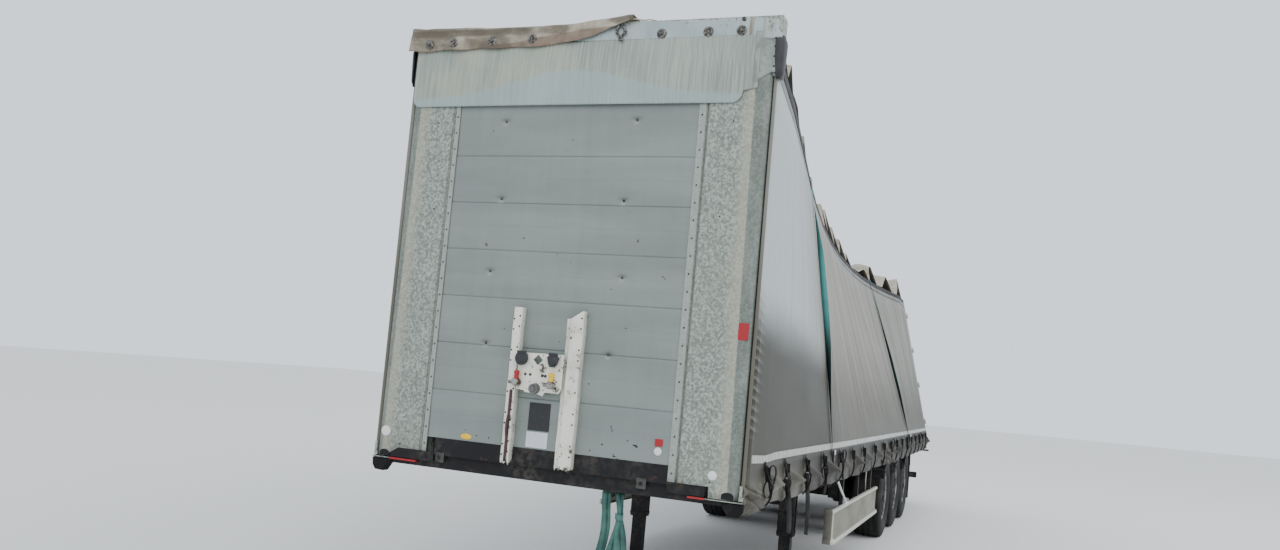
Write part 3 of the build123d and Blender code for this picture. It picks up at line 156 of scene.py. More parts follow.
def finish(name, recipe, metallic=0.0, **fixed):
    """A material. recipe(place) gives its varying fields: colour, roughness, and height of its relief in metres.
    fixed holds the numbers that are the same all over, by the shader's own socket names with _ for spaces."""
    material = bpy.data.materials.new(name)
    material.use_nodes = True
    tree = material.node_tree
    shader = tree.nodes["Principled BSDF"]
    start = Shade(tree)
    place = start.node("ShaderNodeTexCoord", output="Object")
    colour, roughness, height = recipe(place)
    shader.inputs["Metallic"].default_value = metallic
    for key, value in fixed.items():
        shader.inputs[key.replace("_", " ")].default_value = value
    tree.links.new(colour.socket, shader.inputs["Base Color"])
    tree.links.new(roughness.socket, shader.inputs["Roughness"])
    if height is not None:
        relief = start.node("ShaderNodeBump", {"Height": height, "Distance": 1.0, "Strength": 1.0})
        tree.links.new(relief.socket, shader.inputs["Normal"])
    return material


def chassis_paint(place):
    """Black paint under patches of dust, rusty where two noises are both low."""
    dust = place.noise(2.2, 4.0).clip(0.42, 0.75)
    grit = place.noise(26.0, 3.0)
    rust = (grit * place.noise(5.0, 2.0)).clip(0.345, 0.44)
    colour = (dust * grit.clip(0.35, 0.65)).between((0.012, 0.012, 0.013), (0.075, 0.066, 0.055))
    return rust.between(colour, (0.042, 0.028, 0.021)), grit * 0.35 + 0.42, grit * 0.0008


chassis_black = finish("chassis_black", chassis_paint, Specular_IOR_Level=0.2)


def paint(material, *names):
    """Gives CAD nodes a material."""
    for name in names:
        for slot in nodes[name].material_slots:
            slot.material = material


paint(
    chassis_black, "beam_left", "beam_right", "cross_members", "front_beam", "coupling_plate", "hangers",
    "trailing_arms", "axles", "leg_drive", "landing_leg_left", "landing_leg_right", "underrun_bar", "rear_sill",
)


def patch(points, around=False):
    """A grid of points (rows, columns, 3) with four-sided faces between neighbours; around closes its rows."""
    rows, columns = points.shape[:2]
    here = np.arange(rows * columns).reshape(rows, columns)
    beside = np.roll(here, -1, 1)
    last = columns if around else columns - 1
    quads = np.stack((here[:-1], beside[:-1], beside[1:], here[1:]), -1)[:, :last]
    return points.reshape(-1, 3), quads.reshape(-1, 4)


def lathe(profile, centre, axis, sides=24, start=0.0):
    """A turned shape: (distance along the axis, radius) points carried round the axis; radius 0 closes an end."""
    along, radius = np.asarray(profile, float).T[:, :, None]
    turn = start + np.arange(sides) * 2 * np.pi / sides
    local = np.stack(np.broadcast_arrays(along, radius * np.cos(turn), radius * np.sin(turn)), -1)
    return patch(np.roll(local, "xyz".index(axis), -1) + np.asarray(centre, float), around=True)


def tube(path, radius, sides=8):
    """A round bar along a path: circles square to the path's direction, closed at both ends."""
    path = np.asarray(path, float)
    path = np.vstack((path[:1], path, path[-1:]))
    radius = np.broadcast_to(radius, len(path) - 2)
    radius = np.concatenate(([0.0], radius, [0.0]))
    ahead = np.gradient(path[1:-1], axis=0)
    ahead = np.vstack((ahead[:1], ahead, ahead[-1:]))
    ahead /= np.linalg.norm(ahead, axis=1)[:, None]
    mean = np.abs(ahead.sum(0))
    out = np.cross(ahead, np.eye(3)[np.argmin(mean)])
    out /= np.linalg.norm(out, axis=1)[:, None]
    turn = np.arange(sides) * 2 * np.pi / sides
    ring = out[:, None] * np.cos(turn)[:, None] + np.cross(ahead, out)[:, None] * np.sin(turn)[:, None]
    return patch(path[:, None] + ring * radius[:, None, None], around=True)


def block(low, high):
    """A box between two corners, as six faces; the piece's Bevel modifier rounds its edges."""
    low, high = np.minimum(low, high), np.maximum(low, high)
    corners = np.array([[x, y, z] for z in (0, 1) for x, y in ((0, 0), (1, 0), (1, 1), (0, 1))], float)
    quads = np.array([(3, 2, 1, 0), (4, 5, 6, 7), (0, 1, 5, 4), (1, 2, 6, 5), (2, 3, 7, 6), (3, 0, 4, 7)])
    return low + corners * (high - low), quads


def placed(part, place, scale=1.0):
    """A part scaled about its own origin and moved to a place."""
    return part[0] * scale + place, part[1]


def repeated(part, places):
    """Copies of a part, one moved by each row of places."""
    points, quads = part
    places = np.asarray(places, float).reshape(-1, 3)
    step = np.arange(len(places))[:, None, None] * len(points)
    return (points + places[:, None]).reshape(-1, 3), (quads + step).reshape(-1, 4)


def piece(name, parts, material, body="trailer", smooth=35, bevel=0.0, wall=0.0, uv=None, tidy=None, far=None):
    """One object from (points, quads) parts. tidy merges doubled points, which turns the degenerate faces at
    poles into triangles, and points the faces outwards; it is off for a sheet that a wall thickens. smooth is the
    angle, in degrees, above which an edge stays sharp. far is the finish of the side that a wall adds."""
    tidy = not wall if tidy is None else tidy
    mesh = bpy.data.meshes.new(name)
    count = np.cumsum([0] + [len(points) for points, _ in parts])
    points = np.vstack([points for points, _ in parts])
    quads = np.vstack([quads + base for (_, quads), base in zip(parts, count)])
    mesh.from_pydata(points.tolist(), [], quads.tolist())
    if uv is not None:
        layer = mesh.uv_layers.new(name="flat")
        corner = np.empty(len(mesh.loops), int)
        mesh.loops.foreach_get("vertex_index", corner)
        layer.data.foreach_set("uv", np.asarray(uv, float).reshape(-1, 2)[corner].ravel())
    if tidy:
        work = bmesh.new()
        work.from_mesh(mesh)
        bmesh.ops.remove_doubles(work, verts=work.verts, dist=1e-6)
        bmesh.ops.recalc_face_normals(work, faces=work.faces)
        work.to_mesh(mesh)
        work.free()
    mesh.materials.append(material)
    made = bpy.data.objects.new(name, mesh)
    bpy.context.scene.collection.objects.link(made)
    mesh.polygons.foreach_set("use_smooth", np.ones(len(mesh.polygons), bool))
    mesh.set_sharp_from_angle(angle=np.radians(smooth))
    if wall:
        solid = made.modifiers.new("wall", "SOLIDIFY")
        solid.thickness, solid.offset = wall, 0.0
        if far:
            mesh.materials.append(far)
            solid.material_offset = solid.material_offset_rim = 1
    if bevel:
        edge = made.modifiers.new("edge", "BEVEL")
        edge.width, edge.segments, edge.limit_method = bevel, 2, "ANGLE"
    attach(made, body)
    return made


# "Station" is the distance behind the front wall's face, and "height" is above the ground, both in metres.
KINGPIN_STATION = 1.6


def spot(station, y, height):
    """Points of the frame from stations, y values and heights, which may be arrays."""
    station, y, height = np.broadcast_arrays(station, y, height)
    return np.stack((KINGPIN_STATION - station, y, height + GROUND), -1).astype(float)


# Bolts through the hangers and the legs' brackets, with six-sided heads.
hex_y = lathe([(0, 0), (0, 0.012), (0.011, 0.012), (0.013, 0.009), (0.013, 0)], (0, 0, 0), "y", 6)
axle_stations = np.array([7.99, 9.30, 10.61])
LEG_STATION = 3.9
hanger_bolts = [spot(s + dx, 0.66, h) for s in axle_stations - 0.5 for dx in (-0.04, 0.0, 0.04) for h in (0.60, 0.70)]
leg_bolts = [spot(LEG_STATION + dx, 0.83, h) for dx in (-0.05, 0.05) for h in (1.02, 1.07)]
bolts = [placed(repeated(hex_y, rows), 0, (1, side, 1)) for rows in (hanger_bolts, leg_bolts) for side in (1, -1)]
piece("chassis_bolts", bolts, chassis_black, smooth=25)


def ring_steel(place):
    """Grey steel under brown grime, which also dulls it."""
    grime = place.noise(24.0, 4.0).clip(0.4, 0.65)
    return grime.between((0.070, 0.072, 0.066), (0.035, 0.031, 0.026)), grime * 0.3 + 0.45, grime * 0.0005


# Two lashing plates on the front beam's face. Each has an eye: a collar that stands out round a dark hole.
collar = [(0, 0.013), (0.005, 0.014), (0.006, 0.020), (0.003, 0.023), (0, 0.023)]
eye = [(0, 0), (0, 0.0135), (0.0012, 0.0135), (0.0012, 0)]
plates, eyes = [], []
for y in (0.64, -0.75):
    plates.append(block(spot(-0.006, y - 0.031, 1.128), spot(0.0, y + 0.031, 1.192)))
    plates.append(lathe(collar, spot(-0.006, y, 1.158), "x", 20))
    eyes.append(lathe(eye, spot(-0.006, y, 1.158), "x", 20))
lashing_steel = finish("lashing_steel", ring_steel, metallic=0.3)
piece("lashing_plates", plates, lashing_steel, bevel=0.0015)
piece("lashing_eyes", eyes, chassis_black)

# ---------------------------------------------------------------- kingpin
# A forged steel pin, bolted up into the coupling plate under the neck.
# It is bare metal, dark with old grease.
def mottled(clean, dirty, cloud, span, rough, relief, dull=None):
    """A recipe: clean fades into dirty where a cloud of noise passes from the first value of span to the second.
    cloud is that noise's scale and detail. rough is what it adds to the roughness, and the roughness without it;
    dull is the scale and detail of a noise that does this in its place. relief is the scale, the detail and the
    height in metres of the surface's own grain."""
    def recipe(place):
        mask = place.noise(*cloud)
        worn = place.noise(*dull) if dull else mask
        grain = place.noise(*relief[:2]) * relief[2]
        return mask.clip(*span).between(clean, dirty), worn * rough[0] + rough[1], grain
    return recipe


grease = mottled((0.030, 0.027, 0.024), (0.075, 0.060, 0.048), (18.0, 4.0), (0.4, 0.65), (0.2, 0.40),
                 (40.0, 3.0, 0.0004), dull=(18.0, 3.0))
paint(finish("greased_steel", grease, metallic=0.4), "kingpin")

# ---------------------------------------------------------------- air springs
# Rubber rolling-lobe bellows on steel pistons, clamped to the beams by a bead plate.
# One stands on the rear end of each trailing arm, and each is one turned shape.
rubber = mottled((0.009, 0.009, 0.009), (0.040, 0.036, 0.031), (7.0, 4.0), (0.45, 0.8), (0.2, 0.6), (7.0, 4.0, 0.001))
bellows_rubber = finish("bellows_rubber", rubber, Specular_IOR_Level=0.15)
lobe = np.array([
    (0.46, 0.0), (0.46, 0.095), (0.47, 0.108), (0.50, 0.110), (0.545, 0.108), (0.555, 0.128), (0.575, 0.146),
    (0.61, 0.150), (0.66, 0.149), (0.70, 0.144), (0.725, 0.130), (0.738, 0.118), (0.745, 0.118), (0.7715, 0.118),
    (0.7715, 0.0),
])
feet = [spot(s + 0.29, side * 0.6, 0.0) for s in axle_stations for side in (1, -1)]
parts = [lathe(lobe, foot, "z", 32) for foot in feet]
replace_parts(piece("air_springs", parts, bellows_rubber), "air_bellows")

# ---------------------------------------------------------------- wheels
# Wide single tyres, worn and dusty: four straight grooves, and shallow slots across the shoulders of the tread.
# Each sits on a ten-stud steel rim, with its nuts and its hub cap.
TYRE_R, TYRE_OUTER, TYRE_WIDTH = 0.535, 1.210, 0.385
tread = np.linspace(0.0375, 0.3475, 63)
groove = np.exp(-((tread[:, None] - [0.088, 0.157, 0.228, 0.297]) / 0.0062) ** 4).sum(1)
crown = TYRE_R - 0.004 * ((tread - TYRE_WIDTH / 2) / 0.155) ** 4
wall = np.array([(0.0445, 0.287), (0.044, 0.306), (0.030, 0.330), (0.012, 0.372), (0.002, 0.411), (0.001, 0.420),
                 (-0.0005, 0.424), (0.001, 0.428), (0.002, 0.450), (0.008, 0.480), (0.017, 0.505), (0.028, 0.522)])
far_wall = np.c_[TYRE_WIDTH - wall[::-1, 0], wall[::-1, 1]]
section = np.vstack((wall, np.c_[tread, crown - 0.011 * groove], far_wall))
inside = np.array([(0.318, 0.2871), (0.345, 0.411), (0.31, 0.469), (0.075, 0.469), (0.04, 0.411), (0.067, 0.2871)])
section = np.vstack((section, inside, section[:1]))


def tyre_place(angle, section):
    """Section points carried round the axle; the tread's blocks are notched by shallow slots across its edges."""
    inset, radius = section.T[:, None, :]
    slot = (np.abs(np.sin(angle * 62)) > 0.88)[:, None] * (np.abs(inset - TYRE_WIDTH / 2) > 0.118) * (radius > 0.52)
    radius = radius - 0.006 * slot
    return inset + 0 * radius, radius * np.cos(angle)[:, None], radius * np.sin(angle)[:, None]


def tyre_dust(place):
    """Black rubber, dusty where a fine and a coarse noise are both high."""
    dust = place.noise(9.0, 4.0)
    patchy = place.noise(1.7, 3.0)
    colour = (dust * patchy).clip(0.18, 0.38).between((0.008, 0.008, 0.008), (0.032, 0.028, 0.024))
    return colour, dust * 0.25 + 0.6, place.noise(120.0, 2.0) * 0.0006


tyre_rubber = finish("tyre_rubber", tyre_dust, Specular_IOR_Level=0.3)


def rim_paint(place):
    """Silver-grey paint, clouded with dirt, and rusty where grit and cloud together are high."""
    grit, cloud = place.noise(30.0, 4.0), place.noise(6.0, 3.0)
    rust = (grit * 0.5 + cloud * 0.6).clip(0.52, 0.66)
    colour = cloud.clip(0.35, 0.65).between((0.145, 0.145, 0.140), (0.075, 0.070, 0.062))
    return rust.between(colour, (0.060, 0.038, 0.026)), rust * 0.3 + 0.42, rust * 0.0006


rim_grey = finish("rim_grey", rim_paint, metallic=0.2)
STUDS, STUD_CIRCLE, DISC_INSET, CAP_INSET = 10, 0.158, 0.095, 0.025
hex_nut = [(0, 0), (0, 0.016), (0.022, 0.016), (0.026, 0.012), (0.026, 0.008), (0.042, 0.008), (0.042, 0)]
hub_cap = [(0, 0.078), (0.004, 0.078), (0.008, 0.070), (0.010, 0.030), (0.008, 0.026), (0.008, 0)]
angle = np.linspace(0, 2 * np.pi, 248, endpoint=False)
for number, station in enumerate(axle_stations, start=1):
    for side, sign in (("left", 1), ("right", -1)):
        wheel = "%d_%s" % (number, side)
        inset, across, rise = tyre_place(angle + 0.4 * number, section)
        points = spot(station, 0, TYRE_R) + np.stack((across, sign * (TYRE_OUTER - inset), rise), -1)
        carcass = patch(np.vstack((points, points[:1])))
        made = piece("road_tyre_" + wheel, [carcass], tyre_rubber, "wheel_" + wheel)
        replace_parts(made, "tyre_" + wheel)
        paint(rim_grey, "rim_" + wheel)
        turn = (np.arange(STUDS) + 0.5) * 2 * np.pi / STUDS
        nut = placed(lathe(hex_nut, (0, 0, 0), "y", 6), 0, (1, sign, 1))
        ring = spot(station - STUD_CIRCLE * np.cos(turn), sign * (TYRE_OUTER - DISC_INSET),
                    TYRE_R + STUD_CIRCLE * np.sin(turn))
        cap = placed(lathe(hub_cap, (0, 0, 0), "y", 32), spot(station, sign * (TYRE_OUTER - CAP_INSET), TYRE_R),
                     (1, sign, 1))
        piece("wheel_nuts_" + wheel, [repeated(nut, ring), cap], rim_grey, "wheel_" + wheel)

# ---------------------------------------------------------------- mudguards
# Black polythene arches over the wheels and rubber flaps behind them, greyed by road dust.
# The flaps behind the last axle are moulded with upright ribs.
plastic = mottled((0.013, 0.013, 0.015), (0.055, 0.053, 0.052), (3.5, 4.0), (0.35, 0.7), (0.25, 0.4),
                  (60.0, 3.0, 0.0005))
guard_black = finish("guard_black", plastic, Specular_IOR_Level=0.2)
paint(guard_black, "mudguards", "spray_flaps")
FLAP_STATION, RIB_PITCH, RIB_STAND = 11.2495, 0.02, 0.003
across = np.linspace(0.835, 1.205, 112)
rib = RIB_STAND * (np.cos(across * 2 * np.pi / RIB_PITCH) > 0)
height = np.linspace(0.27, 0.99, 8)[:, None]
flaps = [patch(spot(FLAP_STATION - rib, side * across, height)) for side in (1, -1)]
piece("flap_ribs", flaps, guard_black, tidy=False)

# ---------------------------------------------------------------- air tank
# A reservoir of rolled steel with pressed, domed ends and a weld round each.
# Two steel bands strap it under the cross members.
tank_paint = mottled((0.06, 0.062, 0.065), (0.14, 0.125, 0.105), (4.0, 4.0), (0.4, 0.7), (0.3, 0.35),
                     (4.0, 4.0, 0.0004))
tank_grey = finish("tank_grey", tank_paint)
TANK_R, BAND_R, DOME = 0.1235, 0.1255, 0.05
low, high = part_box("air_tank")
middle, half, axis_z = (low.x + high.x) / 2, (high.x - low.x) / 2, low.z + 0.123
bow = np.linspace(0, np.pi / 2, 9)
end = np.c_[half - DOME + DOME * np.cos(bow[::-1]), TANK_R * np.sin(bow[::-1])]
weld = [(half - 0.06, TANK_R), (half - 0.061, BAND_R), (half - 0.066, BAND_R), (half - 0.067, TANK_R)]
profile = np.vstack((end, weld))
profile = profile[np.argsort(-profile[:, 0], kind="stable")]
profile = np.vstack((profile, profile[::-1] * (-1, 1)))
straps = []
for edge in (-1, 1):
    x = middle + edge * (half - 0.09)
    straps.append(block((x - 0.02, -0.04, axis_z), (x + 0.02, 0.04, high.z)))
    band = np.linspace(0, 2 * np.pi, 49)
    loop = np.stack((np.full(49, x), BAND_R * np.cos(band), axis_z + BAND_R * np.sin(band)), -1)
    straps.append(patch(np.stack((loop - (0.018, 0, 0), loop + (0.018, 0, 0)))))
made = piece("air_reservoir", [lathe(profile, (middle, 0, axis_z), "x", 40)] + straps, tank_grey)
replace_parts(made, "air_tank")

# ---------------------------------------------------------------- deck
# Film-faced plywood boards, scuffed brown, screwed down between two side raves of zinc-coated steel.
# The front header and the rear portal are of the same zinc-coated steel.
def deck_ply(place):
    """Brown film with a grain drawn out lengthwise, paler scuffs, and a dark joint every 1.25 m."""
    grain = place.scaled(0.6, 9.0, 1.0).noise(6.0, 5.0)
    scuff = place.noise(3.0, 4.0).clip(0.45, 0.7)
    board = (place.axis(0) * 0.8).maths("FRACT").clip(0.004, 0.0)
    colour = grain.between((0.055, 0.036, 0.024), (0.12, 0.082, 0.055))
    colour = scuff.between(colour, (0.17, 0.14, 0.11))
    return board.between(colour, (0.01, 0.01, 0.01)), scuff * 0.2 + 0.5, grain * 0.0005 - board * 0.002


paint(finish("deck_wood", deck_ply), "deck")


def zinc(place):
    """Hot-dip zinc: crystals a few centimetres wide, each its own grey, with white bloom and yellowish run-off."""
    warped = place.node("ShaderNodeVectorMath", {0: place, 1: place.noise(30.0, 2.0) * 0.02}, operation="ADD")
    crystal = warped.node("ShaderNodeTexVoronoi", {"Vector": warped, "Scale": 78.0}, output=1)
    tone = crystal.node("ShaderNodeSeparateColor", {0: crystal})
    bloom = place.noise(52.0, 4.0, 0.7).clip(0.42, 0.62)
    runs = place.scaled(1, 1, 0.3).noise(2.2, 4.0).clip(0.5, 0.8)
    spangle = tone * 0.55 + bloom * 0.45
    colour = spangle.clip(0.12, 0.88).between((0.188, 0.212, 0.184), (0.412, 0.445, 0.382))
    return (runs * 0.45).between(colour, (0.38, 0.37, 0.29)), 0.62 - spangle * 0.18, spangle * 0.0002


galvanised = finish("galvanised", zinc, metallic=0.35)
paint(galvanised, "side_raves", "portal_header", "front_header", "portal_post_left", "portal_post_right")

# ---------------------------------------------------------------- front wall
# Grey painted aluminium planks, tongued together and held by eight through bolts.
# The racked body has pulled the bolts in, so that each sits in a round dent.
def plank_paint(place):
    """Grey paint, clouded and faintly streaked, with dark specks. The UV map's two values are the shares of the painted
    shade above each bolt and of the painted highlight below it."""
    cloud = place.scaled(1, 0.6, 3.2).noise(1.3, 4.0)
    streak = place.scaled(1, 5.0, 0.35).noise(3.0, 4.0)
    low = place.axis(2).clip(0.9, 0.2)
    colour = (cloud * 0.8 + streak * 0.2).clip(0.3, 0.7).between((0.188, 0.213, 0.198), (0.246, 0.275, 0.256))
    colour = (low * 0.35).between(colour, (0.205, 0.228, 0.220))
    specks = place.noise(14.0, 2.0).clip(0.735, 0.76)
    dents = place.flat()
    # Painted shade above each bolt and a painted highlight below it, from the UV map.
    colour = (dents.axis(0) * 0.62).between(colour, (0.060, 0.068, 0.060))
    colour = (dents.axis(1) * 0.55).between(colour, (0.375, 0.400, 0.365))
    return specks.between(colour, (0.10, 0.09, 0.08)), streak * 0.2 + 0.36, place.noise(90.0, 2.0) * 0.00008


plank_grey = finish("plank_grey", plank_paint, metallic=0.15)
PLANK_FOOT, PLANK_TOP, PLANKS_RIGHT, PLANKS_LEFT = 1.284, 3.870, -0.885, 0.840
PLANK_PITCH, GROOVE_DROP = 0.3085, 0.1543
FRAME_FRONT, FRAME_BACK = 0.0332, 0.0340
SEAMS = 1.597 + PLANK_PITCH * np.arange(6)
fine = np.concatenate([s + np.array([-0.012, -0.006, -0.0025, 0.0, 0.0025, 0.006, 0.012]) for s in SEAMS])
mids = np.concatenate([s - GROOVE_DROP + np.array([-0.004, -0.002, 0.0, 0.002, 0.004]) for s in SEAMS])
DENTS = [(0.395, 3.375), (0.355, 2.865), (0.390, 2.385), (0.345, 1.905),
         (-0.52, 3.37), (-0.50, 2.86), (-0.53, 2.385), (-0.51, 1.92)]
# The grid's rows and columns lie closer at the seams, at the grooves and round the dents.
rows = [np.linspace(PLANK_FOOT, PLANK_TOP, 90), [PLANK_FOOT + 0.0005, PLANK_TOP - 0.0005], fine, mids]
rows += [dh + np.arange(-0.04, 0.041, 0.005) for _, dh in DENTS]
heights = np.unique(np.round(np.concatenate(rows), 4))
columns = [np.linspace(PLANKS_RIGHT, PLANKS_LEFT, 92), np.arange(0.310, 0.431, 0.005), np.arange(-0.565, -0.464, 0.005)]
across = np.unique(np.round(np.concatenate(columns), 4))
y, h = np.meshgrid(across, heights)
seam = np.exp(-(np.abs(h[..., None] - SEAMS) / 0.0035) ** 2).sum(-1)
step = (h - SEAMS[0]) % PLANK_PITCH / PLANK_PITCH
groove = np.exp(-(np.abs(h[..., None] - SEAMS + GROOVE_DROP) / 0.002) ** 2).sum(-1)
away = [np.sqrt((y - dy) ** 2 / 1.6 + (h - dh) ** 2) for dy, dh in DENTS]
dent = sum(0.008 * np.exp(-(r / 0.055) ** 2) + 0.013 * np.exp(-r / 0.016) for r in away)
buckle = 0.0012 * np.sin(7.1 * y + 2.3 * h) * np.sin(4.3 * h + 1.0)
depth = 0.0055 + 0.0045 * seam - 0.0015 * step + 0.0012 * groove + dent + buckle
# The planks' outer edges turn back to the frame behind them.
turned_in = depth.copy()
turned_in[[0, -1]] = turned_in[:, [0, -1]] = FRAME_FRONT + 0.0002
back = block(spot(FRAME_FRONT, PLANKS_RIGHT, PLANK_FOOT), spot(FRAME_BACK, PLANKS_LEFT, PLANK_TOP))
# Each dent is painted dark as shade above its bolt and light as a highlight below it.
dent_shade = sum(np.exp(-((y - dy) / 0.030) ** 2 - ((h - dh - 0.010) / 0.011) ** 2) for dy, dh in DENTS)
dent_highlight = sum(np.exp(-((y - dy) / 0.016) ** 2 - ((h - dh + 0.016) / 0.014) ** 2) for dy, dh in DENTS)
shares = np.vstack((np.stack((dent_shade, dent_highlight), -1).reshape(-1, 2), np.zeros((8, 2))))
made = piece("plank_wall", [patch(spot(turned_in, y, h)), back], plank_grey, smooth=60, uv=shares)
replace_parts(made, "front_panel")
head = lathe([(0, 0), (0, 0.009), (0.006, 0.0085), (0.008, 0.005), (0.008, 0.0)], (0, 0, 0), "x", 16)
places = [spot(0.0245, dy, dh) for dy, dh in DENTS]
piece("wall_bolts", [repeated(head, places)], lashing_steel)

# Small blank plates and marks on the wall: a dark plate, a pale plate, a yellow marker, white discs, red patches.
def plain_film(colour, roughness=0.4):
    """A film or moulded part of one colour, scuffed a little duller."""
    scuffed = tuple(c * 0.72 + 0.03 for c in colour)
    return mottled(colour, scuffed, (40.0, 3.0), (0.5, 0.85), (0.25, roughness), (40.0, 3.0, 0.0001))


dark_plate = finish("dark_plate", plain_film((0.014, 0.015, 0.015)))
pale_plate = finish("pale_plate", plain_film((0.60, 0.62, 0.66)))
amber = finish("amber", plain_film((0.80, 0.40, 0.006), 0.3))
yellow = finish("yellow", plain_film((0.88, 0.53, 0.002), 0.3))
red_film = finish("red_film", plain_film((0.36, 0.008, 0.014), 0.35))
white_film = finish("white_film", plain_film((0.74, 0.74, 0.72), 0.35))
piece("blank_plate_dark", [block(spot(0.0, -0.145, 1.400), spot(0.006, 0.000, 1.572))], dark_plate,
      bevel=0.001)
piece("blank_plate_pale", [block(spot(0.0005, -0.150, 1.293), spot(0.006, -0.002, 1.391))], pale_plate,
      bevel=0.001)
oval = lathe([(0, 0), (0, 0.030), (-0.003, 0.028), (-0.006, 0.018), (-0.006, 0)], (0, 0, 0), "x", 24)
oval = placed(oval, spot(0.004, -0.576, 1.312), (-1, 1.35, 0.62))
piece("yellow_marker", [oval], yellow)
disc = lathe([(0, 0), (0, 0.034), (0.004, 0.033), (0.007, 0.026), (0.0075, 0)], (0, 0, 0), "x", 28)
places = ((-0.0005, 1.074, 1.257, 0.82), (-0.0005, -1.176, 1.290, 1.0), (0.004, 0.726, 1.358, 0.72))
discs = [placed(disc, spot(s, y, h), (1, r, r)) for s, y, h, r in places]
piece("white_markers", discs, white_film)
piece("red_patches", [block(spot(-0.0006, 1.147, 2.055), spot(0.012, 1.216, 2.155)),
                      block(spot(0.0025, 0.702, 1.388), spot(0.007, 0.752, 1.432))], red_film, bevel=0.0004)
# Dark nicks where the planks were struck, each a shallow, stretched pit.
pit = lathe([(-0.001, 0), (-0.001, 0.009), (0.0007, 0.007), (0.0007, 0)], (0, 0, 0), "x", 9)
nicks = []
for y, h, wide, tall in (
    (0.575, 1.378, 1.9, 0.7), (0.587, 1.372, 1.2, 0.9), (0.527, 1.402, 0.6, 0.6), (0.413, 1.472, 0.4, 1.6),
    (0.422, 1.452, 0.4, 1.2), (0.450, 1.298, 1.4, 0.4), (0.444, 1.306, 0.4, 1.0), (0.289, 1.317, 0.5, 0.8),
    (0.364, 1.362, 1.0, 0.6), (-0.590, 1.352, 0.5, 0.5), (-0.503, 1.325, 0.7, 0.6), (-0.414, 1.321, 0.7, 0.7),
    (0.24, 1.72, 0.5, 0.8), (0.33, 2.31, 0.5, 0.5), (-0.38, 2.02, 0.5, 0.7),
):
    at = depth[np.abs(heights - h).argmin(), np.abs(across - y).argmin()]
    nicks.append(placed(pit, spot(at, y, h), (1, wide, tall)))
piece("wall_nicks", nicks, dark_plate)

# ---------------------------------------------------------------- front posts
# Folded zinc-coated sheet: a riveted strip over the planks, a broad face, and a fold back to the corner painted darker
# as shade.
# Under the header a shoulder widens each post to the body's full width.
def post_zinc(place):
    """The zinc's crystals, with a yellowed band beside the fold, a line of painted shade beside the riveted strip, and
    the panel outside the fold painted darker as shade.
    """
    colour, roughness, height = zinc(place)
    fold = place.axis(1).maths("ABSOLUTE") + place.axis(2) * 0.0128
    worm = place.noise(60.0, 2.0, 0.6).near(0.5, 0.040, 0.010) * place.noise(5.0, 3.0).clip(0.30, 0.55)
    colour = (worm * 0.60).between(colour, (0.118, 0.138, 0.118))
    far = place.axis(1).clip(0.1, -0.1)
    strip = place.axis(1).maths("ABSOLUTE") - far * 0.047
    colour = (strip.clip(0.851, 0.845) * 0.70).between(colour, (0.345, 0.375, 0.335))
    shade = strip.near(0.858, 0.013, 0.003)
    colour = (shade * 0.60).between(colour, (0.085, 0.095, 0.080))
    fold = fold - far * 0.030
    colour = (fold.clip(1.060, 1.150) * fold.clip(1.176, 1.166) * 0.55).between(colour, (0.42, 0.40, 0.30))
    cloud = place.scaled(1, 1, 0.5).noise(7.0, 4.0).clip(0.35, 0.7)
    dull = cloud.between((0.105, 0.125, 0.108), (0.205, 0.228, 0.200))
    # The angled panel outside the fold is painted darker as shade.
    colour = (fold.clip(1.166, 1.174) * 0.72).between(colour, dull)
    grime = place.axis(2).clip(0.40, 0.06) * cloud
    return (grime * 0.60).between(colour, (0.19, 0.195, 0.155)), roughness, height


galvanised_post = finish("galvanised_post", post_zinc, metallic=0.3)
POST = np.array([
    (0.004, 0.800), (0.0, 0.802), (0.0, 0.842), (0.003, 0.845), (0.009, 0.846), (0.010, 0.850), (0.009, 0.854),
    (0.001, 0.860), (0.0, 0.870), (0.0, 1.034), (0.0, 1.036), (0.0, 1.120), (0.0, 1.130), (0.0015, 1.138),
    (0.006, 1.170), (0.010, 1.198), (0.014, 1.214), (0.021, 1.226), (0.032, 1.232), (0.046, 1.233), (0.108, 1.233),
    (0.110, 1.231), (0.110, 1.19),
])
SHOULDER = np.array([(0.016, 1.229), (0.017, 1.246), (0.024, 1.262), (0.036, 1.272), (0.050, 1.275), (0.108, 1.275),
                     (0.110, 1.272)])
rivet = lathe([(0, 0), (0, 0.0062), (0.002, 0.0055), (0.0035, 0.003), (0.004, 0)], (0, 0, 0), "x", 8)
STRIP_END, FACE_END, POST_TOP = 1.190, 1.126, 3.875
SHOULDER_FOOT, SHOULDER_TOP = 3.636, 3.872
